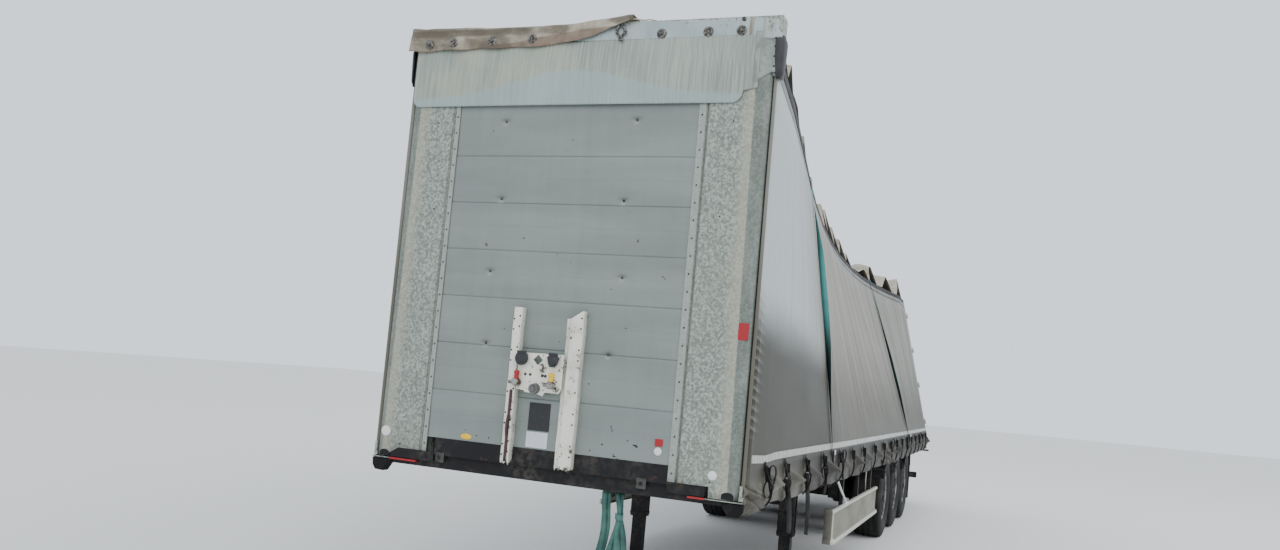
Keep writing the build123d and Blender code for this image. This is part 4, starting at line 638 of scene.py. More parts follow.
for side, sign, inner_foot in (("left", 1, 1.035), ("right", -1, 1.131)):
    station, y = POST.T
    if sign < 0:
        # The far post's strip is narrower and its broad face runs further out, so its outer fold is a narrow one.
        near_y = [0.800, 0.846, 0.870, 1.036, 1.120, 1.170, 1.226, 1.233]
        y = np.interp(y, near_y, [0.860, 0.893, 0.900, 1.060, 1.165, 1.200, 1.229, 1.233])
    foot = np.where(y < inner_foot, STRIP_END, FACE_END)
    share = np.linspace(0, 1, 60)[:, None]
    height = foot + share * (POST_TOP - foot)
    # The outer fold runs outwards towards the foot, more on the near post.
    shift = np.interp(y, [0.89, 1.12, 1.17, 1.214], [0, 1, 1, 0]) * (0.034 if sign > 0 else 0.012)
    shift = shift * (3.87 - height) / 2.74
    wave = 0.0012 * np.sin(share * 9 + y * 8) * np.exp(-((y - 1.0) / 0.12) ** 2)
    face = patch(spot(station - wave, sign * (y + shift), height))
    station, y = SHOULDER.T
    wide = patch(spot(station, sign * y, SHOULDER_FOOT + share[::6] * (SHOULDER_TOP - SHOULDER_FOOT)))
    lid = patch(spot(station, sign * np.stack((y, np.full_like(y, 1.229))), SHOULDER_FOOT + 0.002))
    made = piece("post_skin_" + side, [face, wide, lid], galvanised_post, wall=0.003)
    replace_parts(made, "front_post_" + side)
    back = block(spot(0.075, sign * 0.87, 1.13), spot(0.105, sign * 0.90, 3.87))
    piece("post_back_" + side, [back], galvanised_post)
    rows = np.arange(1.24, 3.50, 0.108)
    loose = [spot(-0.002, sign * across, h) for across, h in ((1.02, 3.36), (0.985, 2.78), (1.06, 1.215))]
    rivets = [repeated(rivet, spot(-0.0015, 0.823 if sign > 0 else -0.876, rows)), repeated(rivet, loose)]
    piece("post_rivets_" + side, rivets, lashing_steel)
    # The black sill end in front of the post's foot and the dark slot in the foot.
    turn = np.linspace(0, np.pi, 9)
    arch = np.vstack(([(1.124, 1.128)], np.c_[1.160 - 0.036 * np.cos(turn), 1.150 + 0.020 * np.sin(turn)],
                      [(1.196, 1.128)]))
    rims = np.stack([spot(s, sign * (arch[:, 0] + 0.012), arch[:, 1]) for s in (0.020, 0.020, -0.0024, -0.0024)])
    rims[0], rims[3] = rims[0].mean(0), rims[3].mean(0)
    hollow = [patch(rims, around=True),
              block(spot(-0.0012, sign * 0.80, 1.128), spot(0.03, sign * (inner_foot - 0.002), 1.188))]
    piece("post_foot_" + side, hollow, chassis_black)
    # The thin edging under the foot, a red film beside it, the pole's clip, and a rubber step below the corner.
    edge = block(spot(-0.001, sign * (inner_foot + 0.002), 1.114), spot(0.02, sign * 1.262, 1.120))
    film = block(spot(0.0, sign * 0.93, 1.110), spot(0.02, sign * inner_foot, 1.122))
    piece("foot_edge_" + side, [edge], galvanised, bevel=0.001)
    piece("foot_red_" + side, [film], red_film, bevel=0.001)
    clip = [block(spot(0.012, sign * 1.236, 1.126), spot(0.030, sign * 1.262, 1.150)),
            block(spot(0.006, sign * 1.240, 1.146), spot(0.016, sign * 1.256, 1.215))]
    piece("pole_clip_" + side, clip, galvanised, bevel=0.002)
    outline = np.array([(1.125, 1.110), (1.272, 1.110), (1.266, 1.060), (1.245, 1.030), (1.180, 1.026)])
    ring = np.stack([spot(s, sign * outline[:, 0], outline[:, 1]) for s in (0.012, 0.012, 0.075, 0.075)])
    ring[0], ring[-1] = ring[0].mean(0), ring[-1].mean(0)
    piece("step_block_" + side, [patch(ring, around=True)], bellows_rubber, bevel=0.006)

# ---------------------------------------------------------------- header
# The wall's hollow top beam, its zinc bare on the left where the roof sheet has torn off its studs.
# A pale, ribbed valance hangs from it over the wall's top, creased where it bows.
def valance_coat(place):
    """Vertical ribs of pale film: warmer and dirtier above the crease, and bluish below it."""
    streak = place.scaled(1, 26.0, 0.8).noise(3.2, 3.0)
    stain = place.scaled(1, 1, 0.6).noise(2.4, 4.0)
    left = place.axis(1).clip(0.6, -0.9)
    above = place.flat().axis(1)
    upper = (above + (place.noise(9.0, 3.0) - 0.5) * 0.02).clip(-0.012, 0.014)
    warm = (streak * 0.6 + stain * 0.4).clip(0.3, 0.7).between((0.205, 0.240, 0.205), (0.385, 0.415, 0.355))
    cool = (streak * 0.4 + stain * 0.6).clip(0.3, 0.7).between((0.262, 0.325, 0.312), (0.350, 0.415, 0.400))
    warm = (left * stain.clip(0.4, 0.6) * 0.5).between(warm, (0.40, 0.40, 0.300))
    scratch = place.scaled(1, 1.6, 5.0).noise(5.0, 5.0, 0.7).clip(0.66, 0.70)
    colour = (scratch * 0.5).between(upper.between(cool, warm), (0.20, 0.22, 0.21))
    return colour, streak * 0.2 + 0.38, streak * 0.0012


flap_grey = finish("flap_grey", valance_coat)
VALANCE_RIGHT, VALANCE_WIDTH, VALANCE_TOP, VALANCE_FOOT, CORNER = -1.236, 2.386, 3.885, 3.468, 0.060


def valance(share_y, share_z):
    """A sheet from its straight top edge to a lower edge with two quarter-round corners. It bows forward by a sine
    of the drop times the root of a sine across, steps back below a crease that is highest at the middle, and
    ripples by sines of y, most at its left."""
    y = VALANCE_RIGHT + share_y * VALANCE_WIDTH
    within = np.clip(1 - share_y * VALANCE_WIDTH / CORNER, 0, 1)
    foot = VALANCE_FOOT + CORNER * (1 - np.sqrt(1 - within ** 2))
    climb = np.clip((y - 0.995) / 0.070, 0, 1)
    foot = foot + 0.072 * (1 - np.sqrt(1 - climb ** 2)) + 0.25 * np.clip(y - 1.065, 0, 1)
    height = VALANCE_TOP + share_z * (foot - VALANCE_TOP)
    drop = (VALANCE_TOP - height) / 0.4
    bow = 0.030 * np.sin(np.clip(drop, 0, 1) * np.pi * 0.62) * np.sin(np.clip((y + 1.24) / 2.36, 0, 1) * np.pi) ** 0.5
    crease = 3.52 + 0.17 * np.exp(-((y + 0.05) / 0.55) ** 2)
    tuck = 0.010 * np.clip((crease - height) / 0.10, 0, 1)
    wide = np.clip((y - 0.35) / 0.5, 0, 1)
    flutter = 0.0024 * np.sin(y * 165 + 2.2 * np.sin(height * 23 + y * 9))
    ripple = 0.0009 * np.sin(y * 260) + wide * np.clip(1.3 - drop, 0, 1) * flutter
    return spot(-0.004 - bow + tuck - ripple, y, height), np.stack((y, height - crease), -1)


share_y, share_z = np.meshgrid(np.linspace(0, 1, 500), np.linspace(0, 1, 38))
grid, above_crease = valance(share_y, share_z)
made = piece("valance", [patch(grid)], flap_grey, wall=0.003, uv=above_crease)
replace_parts(made, "header_flap")
# The plain plate beside the valance, folded back to the corner, with a narrow drilled flange at its outer edge.
plate_plan = np.array([(-0.006, 1.118), (-0.008, 1.124), (0.002, 1.175), (0.008, 1.224),
                       (0.002, 1.228), (0.001, 1.248), (0.010, 1.262), (0.022, 1.266)])
y = plate_plan[:, 1]
foot = 3.560 + 0.095 * np.clip((y - 1.118) / 0.10, 0, 1) ** 0.6
plate = spot(plate_plan[:, 0], y, 3.905 + np.linspace(0, 1, 14)[:, None] * (foot - 3.905))
hole = lathe([(0, 0), (0, 0.006), (0.001, 0.006), (0.001, 0)], (0, 0, 0), "x", 10)
holes = repeated(hole, spot(-0.0015, 1.238, [3.69, 3.75, 3.81, 3.86]))
piece("valance_end_holes", [holes], chassis_black)


def scratched_zinc(place):
    """Pale blue-grey zinc, scored by the torn sheet: dark scratches, brown run-off, and a rust stain by the corner."""
    cloud = place.noise(5.0, 4.0).clip(0.3, 0.7)
    colour = cloud.between((0.315, 0.375, 0.375), (0.425, 0.485, 0.480))
    score = place.scaled(1, 2.2, 1.0).noise(16.0, 5.0, 0.75)
    colour = (score.clip(0.61, 0.66) * 0.8).between(colour, (0.12, 0.13, 0.12))
    right = place.axis(1)
    drip = place.scaled(1, 9.0, 0.6).noise(3.0, 4.0).clip(0.45, 0.65)
    stain = right.clip(0.98, 1.07) * right.clip(1.22, 1.13) * drip
    return (stain * 0.85).between(colour, (0.21, 0.155, 0.095)), cloud * 0.2 + 0.36, score * 0.0008


bare_zinc = finish("bare_zinc", scratched_zinc, metallic=0.3)
spangled = mottled((0.190, 0.222, 0.195), (0.290, 0.325, 0.290), (16.0, 4.0), (0.35, 0.65), (0.2, 0.42),
                   (60.0, 3.0, 0.0003), dull=(6.0, 3.0))
end_zinc = finish("end_zinc", spangled, metallic=0.2)
piece("valance_end", [patch(plate)], end_zinc, wall=0.003)
band = np.array([(0.0, 3.862), (-0.002, 3.875), (-0.002, 3.985), (0.003, 3.997), (0.014, 4.002), (0.112, 4.002)])
y = np.concatenate(([-1.276], np.linspace(-1.2755, 1.2755, 160), [1.276]))
worn = 0.0022 * np.sin(y * 17) * np.sin(y * 5.3)
chewed = np.clip((y - 1.08) / 0.06, 0, 1)
worn = worn - chewed * 0.006 * (1 + np.sin(y * 95)) * np.clip((y - 1.14) / 0.05, 0, 1)
drop = chewed * 0.012 * (1 + np.sin(y * 70 + 1)) * np.clip((y - 1.16) / 0.05, 0, 1)
skin = spot(band[:, :1] - worn * (band[:, 1:] > 3.9), y, band[:, 1:] + 0.4 * worn - drop * (band[:, 1:] > 3.98))
piece("header_skin", [patch(skin)], bare_zinc, wall=0.002)
washer = [(0, 0), (0, 0.032), (0.003, 0.032), (0.008, 0.026), (0.009, 0.018), (0.004, 0.014), (0.004, 0.009)]
stud = lathe(washer + [(0.010, 0.008), (0.010, 0)], (0, 0, 0), "x", 20)
rusted = mottled((0.050, 0.043, 0.036), (0.215, 0.205, 0.185), (60.0, 3.0), (0.4, 0.62), (0.3, 0.35),
                 (80.0, 3.0, 0.0006), dull=(30.0, 3.0))
rusty_stud = finish("rusty_stud", rusted, metallic=0.4)
places = [(-0.026, -1.140, 3.893), (-0.026, -0.955, 3.898), (-0.026, -0.660, 3.902), (-0.026, -0.368, 3.905),
          (-0.004, 0.515, 3.913), (-0.004, 0.816, 3.914), (-0.004, 1.025, 3.913)]
piece("header_studs", [repeated(stud, [spot(*place) for place in places])], rusty_stud)
piece("header_stud_small", [placed(stud, spot(-0.003, 1.035, 3.985), (1, 0.45, 0.45))], rusty_stud)
# The eye that the sheet's cord once ran through, with a short knotted end of cord left in it.
turn = np.linspace(0, 2 * np.pi, 25)
eye = spot(-0.010 - 0.004 * np.sin(turn), 0.240 + 0.026 * np.cos(turn), 3.940 + 0.034 * np.sin(turn))
knot_turn = np.linspace(0, 4.4 * np.pi, 60)
knot_y = 0.224 + 0.004 * knot_turn - 0.014 * np.sin(knot_turn)
knot = spot(-0.018 - 0.006 * np.cos(knot_turn), knot_y, 3.902 + 0.028 * np.cos(knot_turn * 0.55))
piece("header_eye", [tube(eye, 0.009, 8), tube(knot, 0.0065, 6)], rusty_stud)

# ---------------------------------------------------------------- corner caps
# Moulded caps of dark plastic, clipped over the wall's top corners.
# They are broader at the top and rounded at both ends.
cap_plastic = mottled((0.015, 0.015, 0.019), (0.031, 0.030, 0.035), (8.0, 4.0), (0.35, 0.7), (0.2, 0.42),
                      (90.0, 3.0, 0.0003))
cap_dark = finish("cap_dark", cap_plastic)
paint(cap_dark, "corner_caps")
# In plan each cap wraps the body's corner: across the wall's edge, round the corner, and back along the side.
plan = np.array([(0.012, 1.236), (-0.006, 1.238), (-0.012, 1.246), (-0.013, 1.262), (-0.008, 1.282),
                 (0.004, 1.294), (0.022, 1.299), (0.055, 1.298), (0.086, 1.294), (0.092, 1.284)])
CAP_TOP, CAP_LENGTH, CAP_STATION, CAP_Y = 3.874, 0.250, 0.040, 1.268
share = np.linspace(0, 1, 22)[:, None]
# Downwards the section shrinks about the cap's middle by a power of the share, and it closes in at both ends.
full = np.clip(np.minimum(share, 1 - share) * 9, 0.35, 1) ** 0.4
for side, sign in (("left", 1), ("right", -1)):
    station = CAP_STATION + (plan[:, 0] - CAP_STATION) * full * (1 - 0.28 * share ** 1.5)
    wide = 1.0 if sign > 0 else np.where(plan[:, 1] < CAP_Y, 0.1, 0.6)
    y = CAP_Y + (plan[:, 1] - CAP_Y) * wide * full * (1 - 0.30 * share ** 1.5)
    slope = 0.10 * (plan[:, 0] - CAP_STATION) * (1 - share)
    cap = spot(station, sign * y, CAP_TOP - CAP_LENGTH * share - slope)
    made = piece("cap_shell_" + side, [patch(cap)], cap_dark, wall=0.003)
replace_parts(made, "corner_caps")

# ---------------------------------------------------------------- connector bracket
# Two cream-painted channels bolted up the wall, with a drilled plate between them for the couplings.
# The right one is narrow and square, the left one is lipped, and both are rusted ragged at the foot.
def chipped_cream(place):
    """Cream paint, chipped to brown primer over the plate and rusted through towards the channels' feet."""
    grit = place.noise(45.0, 4.0, 0.7)
    chip = (grit * 0.6 + place.noise(12.0, 3.0) * 0.45).clip(0.605, 0.640)
    dirt = place.noise(6.0, 4.0).clip(0.4, 0.8)
    colour = dirt.between((0.80, 0.78, 0.67), (0.55, 0.53, 0.44))
    colour = chip.between(colour, (0.085, 0.062, 0.047))
    rusty = (place.axis(2).clip(0.19, 0.06) * 0.5 + place.noise(30.0, 4.0, 0.7)).clip(0.80, 0.92)
    return rusty.between(colour, (0.050, 0.033, 0.022)), dirt * 0.2 + 0.35, chip * -0.0006


bracket_cream = finish("bracket_cream", chipped_cream)
CHANNEL_FOOT = 1.182
share = np.linspace(0, 1, 60)[:, None]
ragged = 0.012 * np.sin(share[:1] + np.arange(12) * 2.4)
narrow = np.array([
    (-0.023, 0.004), (-0.033, 0.004), (-0.035, 0.001), (-0.035, -0.047), (-0.029, -0.054), (-0.008, -0.054),
    (0.014, -0.054), (0.020, -0.047), (0.020, 0.001), (0.018, 0.004), (0.015, 0.004), (0.010, 0.004),
])
lipped = np.array([
    (-0.070, 0.004), (-0.070, -0.007), (-0.065, -0.009), (-0.035, -0.009), (-0.030, -0.014), (-0.030, -0.046),
    (-0.024, -0.054), (0.049, -0.054), (0.055, -0.047), (0.055, 0.001), (0.053, 0.004), (0.043, 0.004),
])
parts = []
for y, fold in ((-0.255, narrow), (0.135, lipped)):
    dent = 0.002 * np.sin(share * 23 + y * 9) * np.sin(share * 9)
    top = 2.160 - 0.05 * (fold[:, 0] < -0.016) * (y > 0)
    foot = CHANNEL_FOOT + ragged * np.clip(1 - share * 9, 0, 1)
    parts.append(patch(spot(fold[:, 1], y + fold[:, 0] + dent, foot + (top - CHANNEL_FOOT) * share)))
made = piece("bracket_channels", parts, bracket_cream, wall=0.003)


def drilled(name, outline, holes, depth, place, material):
    """A flat plate across the trailer: a filled (y, height) outline with holes, given its thickness.
    A hole is its centre, its radius, and its number of sides, four of which make a diamond."""
    curve = bpy.data.curves.new(name, "CURVE")
    curve.dimensions, curve.fill_mode, curve.extrude = "2D", "BOTH", depth / 2
    loops = [np.asarray(outline, float)]
    for y, h, r, sides in holes:
        turn = np.arange(sides) * 2 * np.pi / sides
        loops.append(np.c_[y + r * np.cos(turn), h + r * np.sin(turn)])
    for loop in loops:
        spline = curve.splines.new("POLY")
        spline.points.add(len(loop) - 1)
        spline.points.foreach_set("co", np.c_[loop, 0 * loop[:, :1], 0 * loop[:, :1] + 1].ravel())
        spline.use_cyclic_u = True
    flat = bpy.data.objects.new(name, curve)
    bpy.context.scene.collection.objects.link(flat)
    bpy.context.view_layer.update()
    mesh = bpy.data.meshes.new_from_object(flat)
    bpy.data.objects.remove(flat)
    points = np.empty(len(mesh.vertices) * 3)
    mesh.vertices.foreach_get("co", points)
    points = points.reshape(-1, 3)
    mesh.vertices.foreach_set("co", spot(place - points[:, 2], points[:, 0], points[:, 1]).ravel())
    mesh.materials.clear()
    mesh.materials.append(material)
    work = bmesh.new()
    work.from_mesh(mesh)
    bmesh.ops.remove_doubles(work, verts=work.verts, dist=1e-6)
    bmesh.ops.recalc_face_normals(work, faces=work.faces)
    work.to_mesh(mesh)
    work.free()
    made = bpy.data.objects.new(name, mesh)
    bpy.context.scene.collection.objects.link(made)
    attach(made, "trailer")
    return made


outline = [
    (-0.225, 1.878), (0.085, 1.882), (0.085, 1.668), (0.070, 1.640), (-0.010, 1.642), (-0.028, 1.640),
    (-0.037, 1.618), (-0.086, 1.630), (-0.133, 1.632), (-0.162, 1.634), (-0.172, 1.645), (-0.225, 1.648),
]
pins = [
    (-0.165, 1.868, 0.005, 9), (-0.055, 1.868, 0.005, 9), (-0.122, 1.790, 0.005, 9), (-0.040, 1.790, 0.005, 9),
    (0.062, 1.790, 0.004, 9), (-0.169, 1.745, 0.010, 14), (-0.134, 1.745, 0.010, 14), (-0.051, 1.743, 0.011, 14),
    (-0.030, 1.742, 0.011, 14), (-0.135, 1.700, 0.005, 9), (-0.045, 1.700, 0.005, 9), (-0.150, 1.655, 0.004, 9),
    (-0.035, 1.655, 0.004, 9), (0.062, 1.868, 0.005, 9), (-0.089, 1.839, 0.034, 4),
]
plate = drilled("coupling_panel", outline, pins, 0.005, -0.0535, bracket_cream)
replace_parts(made, "connector_bracket")
dome = lathe([(0, 0), (0, 0.0065), (0.003, 0.0055), (0.004, 0)], (0, 0, 0), "x", 6)
rows = np.linspace(1.235, 2.085, 14)[[0, 1, 3, 4, 6, 9, 10, 12, 13]]
lines = ((-0.0085, 0.096, 0.0), (-0.0545, 0.180, 0.03), (-0.0545, -0.281, 0.0), (-0.0545, -0.243, 0.02))
screws = [repeated(dome, spot(s, y, rows + raised)) for s, y, raised in lines]
piece("bracket_screws", screws, chassis_black)
# Below the plate the narrow channel is open, and a dark red air hose comes down in it.
trough = [block(spot(-0.0565, -0.266, 1.192), spot(-0.050, -0.246, 1.640))]
piece("bracket_trough", trough, dark_plate)
drop = np.linspace(0, 1, 24)
hose = spot(-0.060 - 0.003 * np.sin(drop * 14), -0.256 + 0.005 * np.sin(drop * 9), 1.640 - 0.425 * drop)
hose_red = finish("hose_red", plain_film((0.060, 0.020, 0.020), 0.45))
piece("bracket_hose", [tube(hose, 0.0085, 10)], hose_red)

# ---------------------------------------------------------------- couplings
# Two dark sockets with hinged lids, a grey socket, and two air couplings with a red and a yellow cover.
# All are screwed to the bracket's plate and face forward.
def worn_steel(place):
    """Bright steel with brown stains, which also dull it."""
    stain = place.noise(18.0, 4.0).clip(0.4, 0.65)
    return stain.between((0.35, 0.34, 0.33), (0.10, 0.065, 0.045)), stain * 0.3 + 0.35, stain * 0.0003


coupling_dark = finish("coupling_dark", plain_film((0.018, 0.019, 0.022), 0.3))
socket = [(0, 0), (0, 0.034), (0.012, 0.036), (0.014, 0.044), (0.026, 0.045), (0.032, 0.040), (0.034, 0.012),
          (0.034, 0)]
PLATE_FRONT = -0.054
parts = [lathe(socket, spot(PLATE_FRONT, -0.195, 1.842), "x", 28),
         lathe(socket, spot(PLATE_FRONT, 0.022, 1.846), "x", 5, 0.3)]
parts += [block(spot(-0.070, y - 0.028, 1.872), spot(-0.092, y + 0.028, 1.888)) for y in (-0.195, 0.022)]
parts += [block(spot(-0.094, y - 0.012, 1.800), spot(-0.101, y + 0.030, 1.812)) for y in (-0.195, 0.022)]
made = piece("socket_lids", parts, coupling_dark, bevel=0.002)
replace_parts(made, "couplings")
AIR_RIGHT, AIR_LEFT, AIR_HEIGHT = -0.215, 0.022, 1.690
body = [(0, 0), (0, 0.024), (0.012, 0.024), (0.014, 0.018), (0.026, 0.018), (0.030, 0.023), (0.042, 0.023),
        (0.048, 0.017), (0.050, 0)]
parts = [lathe(body, spot(PLATE_FRONT, y, AIR_HEIGHT), "x", 20) for y in (AIR_RIGHT, AIR_LEFT)]
parts += [tube(spot(-0.08, [y - 0.050, y - 0.02, y + 0.03], AIR_HEIGHT), 0.012, 12) for y in (AIR_RIGHT, AIR_LEFT)]
piece("air_couplings", parts, finish("coupling_metal", worn_steel, metallic=0.6))
cover = [(0, 0), (0, 0.016), (0.030, 0.014), (0.036, 0.018), (0.050, 0.016), (0.056, 0.0)]
piece("cover_red", [lathe(cover, spot(-0.082, AIR_RIGHT, 1.712), "z", 16)], red_film)
piece("cover_yellow", [lathe(cover, spot(-0.082, AIR_LEFT, 1.712), "z", 16)], yellow)
grey = [(0, 0), (0, 0.034), (0.006, 0.034), (0.008, 0.026), (0.030, 0.028), (0.040, 0.030), (0.040, 0.022),
        (0.034, 0.018), (0.034, 0)]
piece("grey_socket", [lathe(grey, spot(PLATE_FRONT, -0.090, 1.660), "x", 24)], rim_grey)

# ---------------------------------------------------------------- landing legs
# Square tubes in black paint, with a drop leg and a swivel shoe.
# Welded bands go round each tube, and a strip runs up its outer face.
ribs = []
for sign in (1, -1):
    for h in (0.44, 0.62, 0.90):
        ribs.append(block(spot(LEG_STATION - 0.075, sign * 0.665, h),
                          spot(LEG_STATION + 0.075, sign * 0.825, h + 0.028)))
    ribs.append(block(spot(LEG_STATION - 0.005, sign * 0.821, 0.43), spot(LEG_STATION + 0.005, sign * 0.832, 1.10)))
piece("leg_bands", ribs, chassis_black, bevel=0.004)

# ---------------------------------------------------------------- side frame
# Aluminium cant rails, pillars, roof bows and tension poles, bolted together and dull from the weather.
# The body that they make leans to its right, more and more towards the rear.
def dull_alu(place):
    """Aluminium with a roughness streaked lengthwise, under patches of brownish dirt."""
    streak = place.scaled(0.15, 1, 1).noise(20.0, 3.0)
    dirt = place.noise(3.0, 4.0).clip(0.45, 0.75)
    return dirt.between((0.215, 0.215, 0.200), (0.125, 0.118, 0.100)), streak * 0.25 + 0.40, streak * 0.0002


rail_alu = finish("rail_alu", dull_alu, metallic=0.4)
paint(rail_alu, "cant_rails", "pillars", "roof_bows", "tension_poles")
LENGTH, FLOOR, HALF = 13.56, 1.250, 1.275
RAIL_TOP = 2.52
BAYS = np.append(np.linspace(0, LENGTH - 0.9, 13), LENGTH + 0.9)
LEANS = np.radians(19.0 * np.sin(np.pi / 2 * np.minimum(BAYS, LENGTH - 0.9) / 8.6) ** 1.15)


def racked(station, y, rise, out=0.0):
    """Points of the leaning body: rise is measured up the lean from the deck, out is square to a leaning side.
    The lean's sine and cosine run straight between the bays' ends, and below the deck all hangs upright."""
    station, y, rise, out = np.broadcast_arrays(station, y, rise, out)
    sine = np.interp(station, BAYS, np.sin(LEANS)) * (rise > 0)
    cosine = 1 + (np.interp(station, BAYS, np.cos(LEANS)) - 1) * (rise > 0)
    return spot(station, y + out * cosine - rise * sine, FLOOR + rise * cosine + out * sine)


# The gutter lip along each cant rail's top, black as painted shade for the gap between rail and roof sheet, and a dark
# band below the rail's face, painted as the track slot's shadow.
station = np.linspace(0.112, 13.44, 150)[:, None]
lip = np.array([(1.2672, 2.455), (1.2700, 2.456), (1.2715, 2.462), (1.2715, 2.515), (1.2690, 2.521), (1.2550, 2.522)])
track_shadow_band = np.array([(1.2674, 2.380), (1.2678, 2.381), (1.2678, 2.400), (1.2674, 2.401)])
for side, sign in (("left", 1), ("right", -1)):
    gutter, slot = (patch(racked(station, sign * strip[:, 0], strip[:, 1])) for strip in (lip, track_shadow_band))
    # Painted shade: the black lip, and the dark band of the track slot.
    piece("rail_lip_" + side, [gutter], chassis_black, wall=0.0016)
    piece("rail_track_shadow_" + side, [slot], dark_plate, tidy=False)

# ---------------------------------------------------------------- curtains
# Grey coated cloth, strained from the cant rail to buckles on the rave, its front edge lapped round a pole.
# It hangs in fine upright pleats, puckers beside the pole, and scallops along its hem between the buckles.
def curtain_coat(place):
    """Coated cloth by station u and rise v: bluish and clean high at the front, warm further back, with dark streaks
    painted along the pleats as their shade, and painted dark as shade low down, most at the front. Welded seams run up
    it, and its lapped edge is painted olive grey and darker as shade. Painted shade also darkens the turned-up corner's
    creases and the slit by the pole, and painted highlights lie on the pucker beside the pole."""
    flat = place.flat()
    u, v = flat.axis(0), flat.axis(1)
    cloud = flat.scaled(0.5, 1.1, 1).noise(1.3, 4.0)
    streak = flat.scaled(11.0, 0.16, 1).noise(1.0, 4.0, 0.62)
    fine = flat.scaled(34.0, 0.30, 1).noise(1.0, 3.0, 0.6)
    lap = u.clip(0.002, -0.004)
    back = u.clip(0.8, 4.5)
    colour = back.between((0.435, 0.468, 0.475), (0.350, 0.328, 0.276))
    colour = (u.clip(5.0, 11.0) * 0.6).between(colour, (0.270, 0.272, 0.242))
    # Dark streaks painted along the pleats as their shade; the same pattern gives the pleats' relief below.
    lines = (streak * 0.6 + fine * 0.4).clip(0.36, 0.64)
    colour = (lines * (back * 0.62 + 0.08)).between(colour, (0.118, 0.110, 0.094))
    # Painted shade low on the cloth, strongest at the front.
    painted_low_shade = (v + u * 0.05 + (cloud - 0.5) * 0.25).clip(1.20, 0.78) * u.clip(3.9, 2.7)
    painted_low_shade = painted_low_shade + v.clip(1.5, 0.1) * u.clip(2.7, 3.9) * 0.72
    colour = (painted_low_shade * 0.97).between(colour, (0.031, 0.028, 0.015))
    strip = v.clip(0.085, 0.06)
    hem = cloud.clip(0.35, 0.65).between((0.195, 0.182, 0.146), (0.078, 0.071, 0.055))
    hem = (v.clip(-0.075, 0.03) * 0.85).between(hem, (0.040, 0.037, 0.028))
    hem = (u.clip(0.9, 2.6) * 0.88).between(hem, (0.024, 0.021, 0.014))
    colour = (strip * 0.95).between(colour, hem)
    # Painted shade along two creases of the turned-up front corner.
    fold = v + u * 0.27 + 0.062
    crease = fold.near(0.027, 0.014, 0.004).maths("MAXIMUM", fold.near(-0.030, 0.013, 0.003))
    colour = (crease * u.clip(0.50, 0.38) * v.clip(0.10, 0.0) * 0.75).between(colour, (0.028, 0.024, 0.017))
    seam = u.near(6.25, 0.020, 0.008) * (v * 21.0).maths("SINE").clip(-0.6, 0.3)
    other = ((u - 0.35) * 0.6897).maths("FRACT").near(0.5, 0.006, 0.003) * 0.45
    colour = (seam.maths("MAXIMUM", other) * 0.8 * v.clip(2.30, 2.2)).between(colour, (0.055, 0.055, 0.050))
    beside = u.clip(0.28, 0.04) * v.clip(1.22, 0.98) * v.clip(0.20, 0.30)
    pucker = (v * 108.0 + u * 16.0).maths("SINE") * beside
    # The pucker's crests are painted lighter, as highlights.
    colour = (pucker.clip(0.15, 0.9) * 0.32).between(colour, (0.27, 0.265, 0.235))
    # The lapped edge is painted olive grey and darker, as shade on its forward face, darkest low down.
    colour = (v.clip(1.7, 0.9) * lap).between(lap.between(colour, (0.205, 0.200, 0.170)), (0.135, 0.125, 0.100))
    # The slit beside the pole on the left side is painted black as shade.
    colour = (u.clip(-0.0135, -0.017) * place.axis(1).clip(-0.1, 0.1)).between(colour, (0.010, 0.010, 0.010))
    relief = lines * (u.clip(2.7, 3.6) * 0.0042) + pucker * (1 - lap) * 0.0034 + place.noise(420.0, 1.0) * 0.00006
    return colour, cloud * 0.18 + 0.33, relief


def ladder_tape(place):
    """Silver tape: upright ribs 24 to the metre over pale film, dulled by dust."""
    rib = (place.flat().axis(0) * 1.2).maths("FRACT").clip(0.30, 0.42)
    dust = place.noise(9.0, 4.0).clip(0.35, 0.75)
    colour = rib.between((0.085, 0.083, 0.072), (0.52, 0.512, 0.465))
    return (dust * 0.35).between(colour, (0.36, 0.345, 0.31)), dust * 0.2 + 0.3, rib * 0.0004


curtain_grey = finish("curtain_grey", curtain_coat, Specular_IOR_Level=0.09)
tape_silver = finish("tape_silver", ladder_tape)
BUCKLES = np.concatenate(([0.45, 1.04, 1.76, 2.51, 3.35, 4.10, 4.88, 5.78, 6.65], 7.40 + 0.70 * np.arange(9)))
rng = np.random.default_rng(7)
STRIP_FOOT, STRIP_TOP = 0.092, 0.139


def beat(station):
    """The count of buckles passed, whole at each buckle and running evenly between them."""
    return np.interp(station, np.concatenate(([-0.2], BUCKLES, [13.75])), np.arange(-1, len(BUCKLES) + 1))


